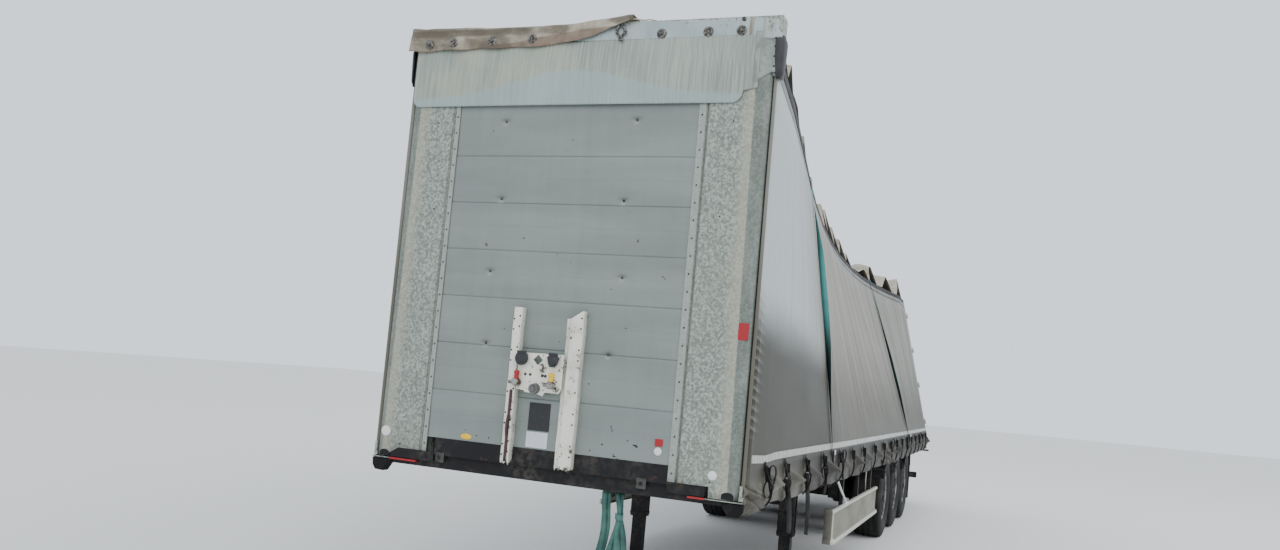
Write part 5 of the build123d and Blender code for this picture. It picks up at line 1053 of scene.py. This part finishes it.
def cloth(station, rise, hem):
    """How far the cloth stands out of its flat plane, in metres. Pleats are two sines of the station. Below the
    tape it bulges by a cosine of the buckle count. Two ridges cross each bay there: one slants down from the buckle
    ahead, the other up to the next. It is crumpled from 6.2 to 8.2, and a bump billows it high at the front."""
    drop = np.clip((0.08 - rise) / (0.08 - hem), 0, 1)
    fade = np.clip((rise - 0.05) / 0.5, 0, 1) * np.clip((2.36 - rise) / 0.25, 0, 1)
    pleats = np.sin(station * 47 + 1.3 * np.sin(station * 3.1)) + 0.7 * np.sin(station * 31 + 2 * np.sin(station * 1.7))
    pleats = pleats * 0.0026 * np.clip((station - 2.3) / 1.2, 0, 1) * fade
    count = beat(station)
    free = (1 - np.cos(2 * np.pi * count)) / 2
    along = count - np.floor(count)
    uneven = 1 + 0.35 * np.sin(np.floor(count) * 2.7)
    bulge = drop * 0.024 * free
    ridge = 0.036 * np.exp(-((drop - 0.22 - 0.55 * along) / 0.085) ** 2)
    ridge = ridge + 0.022 * np.exp(-((drop - 0.88 + 0.42 * along) / 0.07) ** 2)
    folds = ridge * uneven * free ** 0.4 * np.clip(drop / 0.15, 0, 1)
    crumple = np.exp(-((station - 7.2) / 0.75) ** 4) * drop
    folds = folds + crumple * 0.016 * (np.sin(station * 19 + rise * 31) + np.sin(station * 11 - rise * 47) + 1)
    billow = 0.016 * np.sin(np.clip(rise / 2.35, 0, 1) * np.pi) * np.exp(-((station - 1.6) / 1.7) ** 2)
    out = -0.004 + pleats + bulge + folds + billow * np.clip(station / 0.4, 0, 1)
    return np.maximum(out, -0.007 + 0.008 * np.clip((0.12 - rise) / 0.06, 0, 1))


# The lapped front edge in plan: from inside the pole, round its front, and out into the side.
LAP = np.array([(0.054, 1.2368), (0.043, 1.2366), (0.034, 1.2385), (0.0285, 1.2435), (0.0265, 1.2500), (0.0270, 1.2570),
                (0.0300, 1.2630), (0.0360, 1.2672), (0.0450, 1.2692), (0.0560, 1.2702)])
HEM = np.array([(0.02, 1.050), (0.48, 1.056), (0.56, 1.078), (0.83, 1.080), (1.04, 1.046), (1.29, 1.054), (2.2, 1.050),
                (3.57, 1.038), (4.77, 1.022), (6.16, 1.026), (8.16, 1.000), (13.56, 1.000)])
for side, sign in (("left", 1), ("right", -1)):
    station = np.concatenate((LAP[:, 0], np.linspace(0.070, 0.60, 34, endpoint=False), np.linspace(0.60, 13.52, 600)))
    flush = np.concatenate((LAP[:, 1], np.full(634, HALF)))
    label = np.concatenate((np.linspace(-0.030, -0.002, 7), LAP[7:, 0] * 0.1, station[10:]))
    if sign > 0:
        hem = np.interp(station, HEM[:, 0], HEM[:, 1]) - FLOOR
    else:
        hem = 1.118 - FLOOR + 0.006 * np.cos(2 * np.pi * beat(station))
    share = np.concatenate((np.linspace(0, 0.128, 34, endpoint=False), np.linspace(0.128, 1, 18)))[:, None]
    rise = hem + share * (2.376 - hem)
    out = cloth(station, rise, hem)
    out[:, :10] = 0.0
    out[:, 10:16] *= np.linspace(0.2, 1, 6)
    if sign > 0:
        # At the front foot the loose corner is turned up: a ridge slants down and back, and dips behind itself.
        below = rise + 0.062 + 0.27 * station
        turned = np.clip((0.52 - station) / 0.10, 0, 1) * np.clip(station / 0.05, 0.25, 1)
        for stand, at, reach in ((0.030, 0.0, 0.016), (-0.004, 0.040, 0.018), (0.020, -0.055, 0.016)):
            out = out + turned * stand * np.exp(-((below - at) / reach) ** 2)
    else:
        # The far door folds back against this side, so the cloth lies flat there.
        out = np.where(station > 12.2, np.minimum(out, 0.0), out)
    grid = racked(station, sign * flush, rise, sign * out)
    uv = np.stack((label + 0 * share, rise), -1)
    made = piece("side_cloth_" + side, [patch(grid)], curtain_grey, wall=0.0016, smooth=80, uv=uv)
    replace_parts(made, "curtain_" + side)

    # The reflective tape sewn along the curtain, with upright ribs.
    length = np.linspace(0.085, 13.48, 700)
    sag_stations, sags = [0.085, 0.45, 0.75, 1.1, 4.0, 13.5], [0.004, -0.012, -0.002, -0.002, -0.012, -0.020]
    sag = np.interp(length, sag_stations, sags) * (sign > 0)
    lift = np.linspace(STRIP_FOOT, STRIP_TOP, 4)[:, None] + sag
    tape = racked(length, sign * HALF, lift, sign * (cloth(length, lift, -0.2) + 0.0022))
    tape_uv = np.stack(np.broadcast_arrays(length / 0.05, np.arange(4)[:, None] / 3), -1)
    piece("tape_" + side, [patch(tape)], tape_silver, uv=tape_uv, tidy=False)

# ---------------------------------------------------------------- buckles
# Over-centre buckles of black steel, each sewn to the curtain by a web tab. Its web strap runs down to a hook
# under the rave. Most hang dusty and half open, and some let a web loop or a long tail hang.
THREADS = (300.0, 1.0, 0.0003)
sewn = mottled((0.016, 0.016, 0.017), (0.070, 0.066, 0.058), (12.0, 4.0), (0.4, 0.8), (0.2, 0.6), THREADS)
loose = mottled((0.035, 0.036, 0.038), (0.080, 0.077, 0.071), (9.0, 4.0), (0.35, 0.7), (0.2, 0.6), THREADS,
                dull=(9.0, 3.0))
web_black = finish("web_black", sewn, Specular_IOR_Level=0.2)
web_grey = finish("web_grey", loose, Specular_IOR_Level=0.2)


def ribbon(path, across, width):
    """A flat band along a path, width wide in the direction of across at each point."""
    path, across = np.asarray(path, float), np.asarray(across, float)
    across = across / np.linalg.norm(across, axis=-1, keepdims=True) * np.reshape(width, (-1, 1))
    return patch(path[:, None] + across[:, None] * np.array([[-0.5], [0.5]]))


# Where a long tail hangs: the height of its foot, how far back it drifts, and its width.
TAILS = {("left", 1): (0.820, 0.20, 0.048), ("left", 2): (0.735, 0.14, 0.042), ("left", 3): (0.985, 0.05, 0.030),
         ("right", 6): (0.80, 0.1, 0.046)}
for side, sign in (("left", 1), ("right", -1)):
    metal, webs, tails = [], [], []
    for index, station in enumerate(BUCKLES):
        hem = np.interp(station, HEM[:, 0], HEM[:, 1]) + 0.01 if sign > 0 else 1.128
        swing, open_by = rng.uniform(-0.02, 0.02), rng.uniform(0.6, 1.0) * (0.055 if index < 5 else 0.026)
        face, top, low = HALF + 0.004, 1.318 - 0.004 * min(index, 6), 1.178
        drop = np.linspace(0, 1, 7)
        tab = spot(station, sign * (face + 0.004 * drop[:3]), top + 0.022 - 0.15 * drop[:3])
        webs.append(ribbon(tab, [[1, 0, 0]] * 3, 0.046))
        # The buckle's frame is a long ring that hangs off the tab, its foot standing out, with a lever in it.
        turn = np.linspace(0, 2 * np.pi, 21)
        along = (1 - np.sign(np.cos(turn)) * np.abs(np.cos(turn)) ** 0.6) / 2
        ring = spot(station + swing * along + 0.021 * np.sign(np.sin(turn)) * np.abs(np.sin(turn)) ** 0.5,
                    sign * (face + 0.005 + open_by * along), top - (top - low) * along)
        metal.append(tube(ring, 0.0052, 6))
        cheek = spot(station, sign * (face + 0.016 + 0.006 * drop), top - 0.012 - 0.088 * drop)
        metal += [ribbon(cheek + (dx, 0, 0), [[0.2, sign, 0]] * 7, 0.034 - 0.012 * drop) for dx in (-0.016, 0.016)]
        if index < 5:
            sway, rise = 0.010 * np.sin(turn), 0.055 * np.sin(turn)
            hoop = spot(station + swing * 0.5 + sway, sign * (face + 0.026 + 0.024 * np.cos(turn)), low - 0.005 + rise)
            metal.append(tube(hoop, 0.0046, 6))
        stand = face + 0.004 + (open_by + 0.010) * drop ** 1.3
        lever = spot(station + swing * drop, sign * stand, top - 0.03 - (top - low - 0.045) * drop)
        metal.append(ribbon(lever, [[1, 0.0, 0]] * 7, 0.026))
        bar_foot = spot(station - 0.024, sign * face, top - 0.034)
        bar_top = spot(station + 0.024, sign * (face + 0.013), top - 0.020)
        metal.append(block(bar_foot, bar_top))
        drop = np.linspace(0, 1, 9)
        sway = 0.018 * np.sin(drop * np.pi) * rng.uniform(-1, 1)
        reach = sign * (face + open_by * (1 - drop) + 0.014 * np.sin(drop * np.pi))
        strap = spot(station + swing + sway, reach, low - (low - hem + 0.02) * drop)
        webs.append(ribbon(strap, [[1, sign * 0.5, 0]] * 9, 0.034))
        if (side, index) in TAILS:
            foot, back, wide = TAILS[side, index]
            stand = face + 0.022 + 0.012 * np.sin(drop * np.pi)
            tail = spot(station + swing + back * drop ** 1.3, sign * stand, 1.200 - (1.200 - foot) * drop)
            tails.append(ribbon(tail, np.c_[0.5 + 0 * drop, sign * (0.9 - 0.3 * drop), 0 * drop], wide))
        if sign > 0 and index in (0, 4, 9, 12, 15):
            turn = np.linspace(0, 2 * np.pi, 26)
            stand = face + 0.026 + 0.010 * np.sin(turn * 2)
            loop = spot(station + 0.10 + 0.075 * np.cos(turn), stand, 1.212 + 0.102 * np.sin(turn))
            metal.append(tube(loop, 0.0062, 6))
        if sign > 0 and index == 4:
            doubled = spot(station + 0.08 - 0.05 * drop, face + 0.02 + 0.02 * drop, 1.30 - 0.24 * drop)
            tails.append(ribbon(doubled, [[1, 0.6, 0]] * 9, 0.032))
    piece("buckle_metal_" + side, metal, chassis_black, smooth=40)
    piece("buckle_webs_" + side, webs, web_black, wall=0.0018)
    piece("buckle_tails_" + side, tails, web_grey, wall=0.0018)

# ---------------------------------------------------------------- roof sheet
# Cream coated cloth, fixed to the cant rails and laid over the bows.
# It is no longer strained, and stands in cross folds that are open at its left edge.
def dirty_cream(place):
    """Cream cloth with broad brown stains, and darker dirt and small creases from a finer noise."""
    stain = place.noise(2.6, 5.0)
    fold = place.noise(11.0, 4.0)
    colour = stain.clip(0.35, 0.7).between((0.46, 0.415, 0.320), (0.24, 0.200, 0.142))
    return (fold.clip(0.55, 0.70) * 0.6).between(colour, (0.16, 0.13, 0.09)), fold * 0.2 + 0.42, fold * 0.004


roof_cream = finish("roof_cream", dirty_cream)
# The sheet's underside is painted dark brown as the shade inside its folds.
shaded = mottled((0.030, 0.024, 0.019), (0.085, 0.066, 0.048), (4.0, 4.0), (0.35, 0.7), (0.2, 0.6),
                 (60.0, 3.0, 0.0004), dull=(4.0, 3.0))
roof_underside_shade = finish("roof_underside_shade", shaded)
FOLDS = np.array([
    (0.060, 0.232), (0.116, 0.232), (0.33, 0.09), (0.56, 0.03), (0.75, 0.18), (0.92, 0.04), (1.43, 0.10), (1.70, 0.0),
    (2.15, 0.0), (2.38, 0.15), (2.72, 0.0), (3.05, 0.0), (3.23, 0.06), (3.43, 0.0), (5.20, 0.0), (5.62, 0.01),
    (5.90, 0.12), (6.12, 0.02), (6.55, 0.17), (6.80, 0.01), (7.12, 0.15), (7.42, 0.01), (7.85, 0.165), (8.05, 0.01),
    (8.34, 0.11), (8.56, 0.0), (9.30, 0.02), (10.70, 0.20), (10.88, 0.0), (11.35, 0.01), (11.87, 0.17), (12.12, 0.0),
    (12.52, 0.0), (12.88, 0.15), (13.15, 0.0), (13.56, 0.0),
])
ROOF_FRONT, ROOF_REAR, ROOF_EDGE = 0.06, 13.56, 1.2665
near_folds = (FOLDS[:, :1] + [-0.012, 0.0, 0.012]).ravel()
station = np.unique(np.concatenate((np.linspace(ROOF_FRONT, ROOF_REAR, 470), near_folds)))
station = station[(station >= ROOF_FRONT) & (station <= ROOF_REAR)]
across = np.linspace(-ROOF_EDGE, ROOF_EDGE, 60)[:, None]
drift = 0.05 * np.sin(across * 2.3 + 0.7 * np.sin(station)) * np.clip((station - 0.5) / 0.5, 0, 1)
height = np.interp(station + drift, FOLDS[:, 0], FOLDS[:, 1])
uneven = 1 + 0.16 * np.sin(across * 4.1 + station * 2.0) + 0.10 * np.sin(across * 9.7 - station * 5.0)
edge = np.clip((ROOF_EDGE - np.abs(across)) / 0.25, 0, 1)
height = height * (1 + (uneven - 1) * np.clip((station - 0.3) / 0.4, 0, 1) * edge)
# The folds stand taller where they break over the left edge, and the two lashing straps press them flat.
TALLER = np.array([(5.2, 0.0), (5.7, 2.1), (6.6, 1.6), (7.1, 1.2), (7.9, 0.8),
                   (8.4, 0.6), (10.7, 0.45), (11.9, 0.5), (12.8, 1.2), (13.4, 1.3)])
taller = np.interp(station, TALLER[:, 0], TALLER[:, 1])
height = height * (1 + taller * np.clip((across - 0.2) / 0.9, 0, 1))
height = height * (1 - np.exp(-((station - 3.25) / 0.10) ** 2)) * (1 - np.exp(-((station - 10.2) / 0.16) ** 2))
wrinkle = 0.006 * (np.sin(station * 41 + 5 * across) * np.sin(across * 13 + station * 2) + 1)
wrinkle = wrinkle * edge * np.clip((station - 0.2) / 0.3, 0, 1)
folded = [patch(racked(station, across, RAIL_TOP + 0.003 + height + wrinkle))]
made = piece("roof_sheet", folded, roof_underside_shade, wall=0.0016, smooth=50, far=roof_cream)
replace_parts(made, "roof_tarp")

# The sheet's front edge, still held by four studs over the header on the right, torn loose and curled on the left.
def torn_hem(place):
    """The dirty cream cloth with painted brown shadow along the crease under its upper edge, rusty-brown along its hem,
    and patches of painted brown shade.
    """
    colour, roughness, height = dirty_cream(place)
    brown = place.scaled(1, 1, 2).noise(7.0, 5.0, 0.65).clip(0.40, 0.66)
    colour = (brown * 0.75).between(colour, (0.150, 0.118, 0.074))
    y, z = place.axis(1), place.axis(2)
    # Painted shadow in the crease under the sheet's upper edge.
    crease = z.clip(2.848, 2.872) * z.clip(2.917, 2.902) * y.clip(-0.20, -0.75)
    colour = (crease * place.noise(5.0, 3.0).clip(0.25, 0.5) * 0.85).between(colour, (0.085, 0.063, 0.040))
    hem = (z - y.clip(-0.95, 0.25) * 0.115).clip(2.776, 2.767)
    colour = (hem * 0.75).between(colour, (0.20, 0.125, 0.085))
    shade = place.scaled(1, 0.8, 1.4).noise(4.6, 4.0).clip(0.36, 0.60)
    return (shade * 0.78).between(colour, (0.082, 0.062, 0.037)), roughness, height


share_y = np.linspace(0, 1, 190)
SHEET_RIGHT, SHEET_WIDTH = -1.292, 1.62
SHEET_HEM = np.array([(-1.292, 3.846), (-0.95, 3.850), (-0.40, 3.854), (-0.227, 3.860), (-0.10, 3.880),
                      (0.056, 3.905), (0.172, 3.960), (0.25, 3.985), (0.33, 4.008)])
y = SHEET_RIGHT + share_y * SHEET_WIDTH
low = np.interp(y, SHEET_HEM[:, 0], SHEET_HEM[:, 1]) + 0.004 * np.sin(y * 23)
down = np.linspace(0, 1, 26)[:, None]
curl = np.clip((y + 0.05) / 0.35, 0, 1)
left_curl = np.clip((-1.20 - y) / 0.09, 0, 1)
over = np.clip(down / 0.26, 0, 1)
fall = np.clip((down - 0.20) / 0.80, 0, 1)
out = 0.017 + 0.005 * np.sin(y * 21 + down * 3) + 0.022 * curl * np.sin(down * np.pi)
out = out + 0.008 * fall ** 2 - 0.007 * np.sin(np.clip(fall * 2.2, 0, 1) * np.pi) * np.clip((-0.3 - y) / 0.3, 0, 1)
top = 4.008 + 0.008 * np.sin(y * 5 + 0.6) + 0.020 * curl + 0.012 * left_curl
front = spot(0.10 - over * (0.10 + out + 0.010 * left_curl), y, top - fall * (top - low))
torn_cream = finish("torn_cream", torn_hem)
made = piece("sheet_front", [patch(front)], torn_cream, wall=0.0022, smooth=70)
# The end of the tear, a thin rolled edge that runs on along the header's top.
run = np.linspace(0, 1, 20)
edge_y = 0.300 + 0.190 * run
rolled = spot(-0.004 + 0.03 * run, edge_y, 4.016 - 0.008 * run + 0.003 * np.sin(run * 12))
piece("sheet_torn_edge", [tube(rolled, 0.006 - 0.003 * run, 8)], roof_cream)

# ---------------------------------------------------------------- rear
# A zinc-coated portal with two plain door leaves, lock rods and keepers, and round lamps under its sill.
# The photograph doesn't show it.
def door_paint(place):
    """Pale grey paint under tall, soft patches of dirt."""
    dirt = place.scaled(1, 1, 0.4).noise(2.0, 5.0)
    grain = place.noise(60.0, 2.0)
    return dirt.clip(0.35, 0.75).between((0.46, 0.475, 0.465), (0.30, 0.29, 0.265)), dirt * 0.2 + 0.35, grain * 0.0002


door_grey = finish("door_grey", door_paint, metallic=0.1)
paint(door_grey, "door_left", "door_right")
paint(guard_black, "rear_lamps")
red_lens = finish("lamp_red", plain_film((0.42, 0.02, 0.02), 0.25), Coat_Weight=0.5)
lens = lathe([(0, 0), (0, 0.045), (-0.010, 0.043), (-0.016, 0.030), (-0.018, 0)], (0, 0, 0), "x", 24)
for name, lens_paint, slot, distances in (
    ("lamp_lenses", red_lens, "lamp_red", (0.830, 0.945)), ("turn_lenses", amber, "bracket_cream", (1.060,)),
):
    places = [spot(13.551, sign * distance, 1.035) for sign in (1, -1) for distance in distances]
    piece(name, [repeated(lens, places)], lens_paint)

# ---------------------------------------------------------------- side guards
# Off-white painted sheet with rolled lips, flared at the foot and returned at its front end.
# Black arms carry it, and two thin stays steady it from above.
def guard_white(place):
    """Off-white paint dirtied lengthwise: painted lighter along both lips as highlights, paler at the front end, dark
    on its inner face, and chipped here and there."""
    dirt = place.scaled(0.25, 1, 0.7).noise(5.0, 5.0)
    chip = place.scaled(0.4, 1, 1).noise(22.0, 3.0).clip(0.70, 0.74)
    colour = dirt.clip(0.35, 0.7).between((0.194, 0.183, 0.136), (0.110, 0.099, 0.066))
    # Both rolled lips are painted lighter as highlights.
    lips = place.axis(2).clip(-0.345, -0.335) + place.axis(2).clip(-0.578, -0.590)
    colour = (lips * 0.85).between(colour, (0.56, 0.55, 0.47))
    colour = (place.axis(0).clip(-1.945, -1.905) * 0.85).between(colour, (0.62, 0.59, 0.49))
    inside = place.axis(1).maths("ABSOLUTE").clip(1.238, 1.232)
    colour = (inside * 0.8).between(colour, (0.060, 0.056, 0.048))
    return chip.between(colour, (0.10, 0.08, 0.06)), dirt * 0.2 + 0.35, dirt * 0.0004


side_guard_white = finish("side_guard_white", guard_white, Specular_IOR_Level=0.15)
rim = np.array([(-0.040, 0.762), (-0.028, 0.769), (-0.006, 0.770), (0.008, 0.765), (0.011, 0.752),
                (0.006, 0.738), (-0.006, 0.728), (-0.006, 0.520), (-0.003, 0.508), (0.010, 0.499),
                (0.018, 0.488), (0.020, 0.470), (0.012, 0.456), (-0.006, 0.451), (-0.040, 0.452)])
bend = np.linspace(0, np.pi / 2, 7)
GUARD_REAR, GUARD_Y, GUARD_BEND = 6.55, 1.250, 0.030
for side, sign, start, arm_stations in (
    ("left", 1, 3.500, (4.008, 5.025, 6.042)), ("right", -1, 4.070, (4.483, 5.310, 6.137)),
):
    # In plan the sheet runs out from the chassis, round a bend, and back along the side.
    bent = np.c_[start + GUARD_BEND * (1 - np.cos(bend)), GUARD_Y + GUARD_BEND * (np.sin(bend) - 1)]
    straight = np.c_[np.linspace(start + 0.15, GUARD_REAR, 24), np.full(24, GUARD_Y)]
    plan = np.vstack(([(start, 1.160)], bent, straight))
    facing = np.vstack(([(-1.0, 0.0)], np.c_[-np.cos(bend), np.sin(bend)], np.tile((0.0, 1.0), (24, 1))))
    grid = plan[:, None] + facing[:, None] * rim[:, :1]
    guard = spot(grid[..., 0], sign * grid[..., 1], rim[:, 1])
    made = piece("guard_panel_" + side, [patch(guard)], side_guard_white, wall=0.003)
    arms = [block(spot(s - 0.025, sign * 1.205, 0.48), spot(s + 0.025, sign * 1.240, 1.11)) for s in arm_stations]
    piece("guard_arms_" + side, arms, chassis_black, bevel=0.004)
    stay = spot(start + np.array([0.74, 0.36, 0.0]), sign * np.array([1.238, 1.244, 1.248]), [0.775, 0.91, 1.05])
    foot = block(spot(start + 0.62, sign * 1.215, 0.766), spot(start + 0.86, sign * 1.256, 0.776))
    piece("guard_stay_" + side, [tube(stay, 0.011, 8), foot], white_film, bevel=0.001)
    stay = spot([5.72, 5.60, 5.56], sign * np.array([1.225, 1.235, 1.245]), [0.765, 0.90, 1.04])
    piece("guard_stay_rear_" + side, [tube(stay, 0.007, 8)], side_guard_white)
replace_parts(made, "side_guards")

# ---------------------------------------------------------------- lashing straps
# Two turquoise polyester straps thrown over the body to hold it. Each is drawn tight from the cant rail to a hook
# and given nearly a quarter turn on the way, so that it lies flat at its ends and stands on edge between them.
def turquoise(place):
    """Woven polyester by the length u from the rail: faded teal high up, and painted near-black low down as shade."""
    flat = place.flat()
    thread = (flat.axis(1) * 60.0).maths("SINE")
    faded = place.noise(3.0, 4.0)
    colour = faded.clip(0.3, 0.7).between((0.070, 0.265, 0.255), (0.125, 0.385, 0.365))
    # Painted shade: the strap darkens to near black low down, where it stands edge-on.
    strap_low_shade = (flat.axis(0) + faded * 0.3).clip(1.28, 1.85)
    return (strap_low_shade * 0.93).between(colour, (0.010, 0.016, 0.015)), faded * 0.2 + 0.55, thread * 0.0002


strap_turquoise = finish("strap_turquoise", turquoise, Specular_IOR_Level=0.2)
SIDE_COUNT, ROOF_COUNT = 60, 40
# Each strap's stations at the deck and at the rail, how far it stands off the side by its height up the lean, its
# width, and a length by which it counts as lower than it is, and so gets more of the painted shade.
STANDS = {
    "front": (3.0, 3.25, [0.02, 0.07, 0.36, 0.57, 0.735, 0.99, 1.17, 1.43, 1.78, 1.975, 2.30, 2.53],
              [0.006, 0.009, 0.013, 0.018, 0.024, 0.031, 0.033, 0.034, 0.032, 0.024, 0.007, 0.004], 0.060, 0.0),
    "rear": (10.05, 10.2, [0.02, 0.114, 0.72, 1.25, 1.71, 2.41, 2.53],
             [0.006, 0.010, 0.024, 0.024, 0.016, 0.006, 0.004], 0.048, 0.80),
}
for name, (station_low, station_high, rises, stands, strap_width, shade_offset) in STANDS.items():
    up = np.linspace(0.02, 2.53, SIDE_COUNT)
    station = station_low + (station_high - station_low) * up / 2.52
    stand = np.interp(up, rises, stands)
    crest = RAIL_TOP + 0.016
    left = racked(station, HALF, up, stand)
    flat_y = np.linspace(1.262, -1.262, ROOF_COUNT)
    roof = racked(station_high, flat_y, crest + 0.02 * np.sin(np.linspace(0, np.pi, ROOF_COUNT)))
    right_side = racked(station[::-1], -HALF, up[::-1], -stand[::-1])
    path = np.vstack((left, roof, right_side))
    lean = np.arcsin(np.clip((stand - 0.004) / (strap_width / 2), 0, 0.985))
    twist = np.concatenate((lean, np.zeros(ROOF_COUNT), lean[::-1]))
    ahead = np.gradient(path, axis=0)
    ahead /= np.linalg.norm(ahead, axis=1)[:, None]
    lengthwise = np.array([1.0, 0.0, 0.0]) - ahead * ahead[:, :1]
    lengthwise /= np.linalg.norm(lengthwise, axis=1)[:, None]
    square = np.cross(ahead, lengthwise)
    width_way = lengthwise * np.cos(twist)[:, None] + square * np.sin(twist)[:, None]
    width = np.full(len(path), 0.05)
    width[:SIDE_COUNT] = np.interp(up, [0, 0.3, 0.8, 1.9, 2.3], [0.030, 0.045, strap_width, strap_width, 0.05])
    width[-SIDE_COUNT:] = width[:SIDE_COUNT][::-1]
    length = np.concatenate(([0], np.cumsum(np.linalg.norm(np.diff(path, axis=0), axis=1))))
    rails = length[[SIDE_COUNT - 1, SIDE_COUNT + ROOF_COUNT]]
    from_rail = np.abs(length[:, None] - rails).min(1) + shade_offset
    uv = np.stack((np.repeat(from_rail[:, None], 2, 1), np.tile([0.0, 1.0], (len(path), 1))), -1)
    piece("strap_" + name, [ribbon(path, width_way, width)], strap_turquoise, wall=0.002, uv=uv)
    hooks = []
    for sign in (1, -1):
        low, high = (station_low - 0.018, HALF + 0.004, FLOOR - 0.03), (station_low + 0.018, HALF + 0.018, FLOOR + 0.07)
        hooks.append(block(spot(*low) * (1, sign, 1), spot(*high) * (1, sign, 1)))
        reach = HALF + np.array([0.012, 0.012, 0.006, -0.02])
        hooks.append(tube(spot(station_low, sign * reach, [1.24, 1.14, 1.03, 1.01]), 0.006, 8))
    piece("strap_hooks_" + name, hooks, coupling_dark, bevel=0.002)
    turn = np.linspace(0, 2 * np.pi, 21)
    round_h = FLOOR + 0.055 + 0.018 * np.sin(turn)
    rings = [tube(spot(station_low + 0.018 * np.cos(turn), sign * (HALF + 0.020), round_h), 0.004, 8)
             for sign in (1, -1)]
    piece("strap_rings_" + name, rings, white_film)

# ---------------------------------------------------------------- spare webbing
# A hank of the same webbing, tied under the front sill.
# One long fold hangs beside a knotted bunch of folds.
faded_web = mottled((0.014, 0.060, 0.050), (0.070, 0.190, 0.158), (5.0, 4.0), (0.3, 0.7), (0.2, 0.6),
                    (260.0, 1.0, 0.0003))
hank_teal = finish("hank_teal", faded_web)
drop = np.linspace(0, 1, 26)
bands = []
for top_y, knot_y, low_y, low_h, turned, twist, ahead in (
    (0.400, 0.392, 0.362, 0.50, -0.35, 0.15, 0.000), (0.415, 0.408, 0.385, 0.47, -0.30, 0.25, 0.016),
    (0.470, 0.480, 0.415, 0.46, -0.3, 0.6, 0.004), (0.485, 0.488, 0.450, 0.42, 0.6, 0.9, 0.022),
    (0.490, 0.490, 0.500, 0.44, 0.3, 0.9, 0.010), (0.480, 0.488, 0.560, 0.50, -0.6, 0.5, 0.028),
    (0.485, 0.490, 0.530, 0.40, -0.9, 0.7, 0.034),
):
    y = np.interp(drop, [0, 0.22, 1], [top_y, knot_y, low_y]) + 0.010 * np.sin(drop * 7 + low_y * 30)
    h = 1.075 - (1.075 - low_h) * drop
    facing = turned + twist * np.sin(drop * 2.6 + low_y * 20)
    path = spot(0.065 + ahead + 0.012 * np.sin(drop * 6 + turned), y, h)
    width = np.interp(drop, [0, 0.2, 0.3, 1], [0.034, 0.026, 0.032, 0.042])
    bands.append(ribbon(path, np.c_[np.sin(facing), np.cos(facing), 0 * drop], width))
# The knot's turn round the folds, and the end that is laid over the frame above them.
turn = np.linspace(0, 2 * np.pi, 17)
knot = spot(0.082 + 0.026 * np.cos(turn), 0.488 + 0.024 * np.sin(turn), 0.935 + 0.006 * np.sin(turn * 2))
laid = spot(0.055 + 0.15 * drop[:9], 0.42 + 0.115 * np.cos(np.linspace(0, np.pi, 9)), 1.083)
bands += [ribbon(knot, [[0, 0, 1]] * 17, 0.035), ribbon(laid, [[1, 0, 0]] * 9, 0.045)]
piece("spare_webbing", bands, hank_teal, wall=0.002)
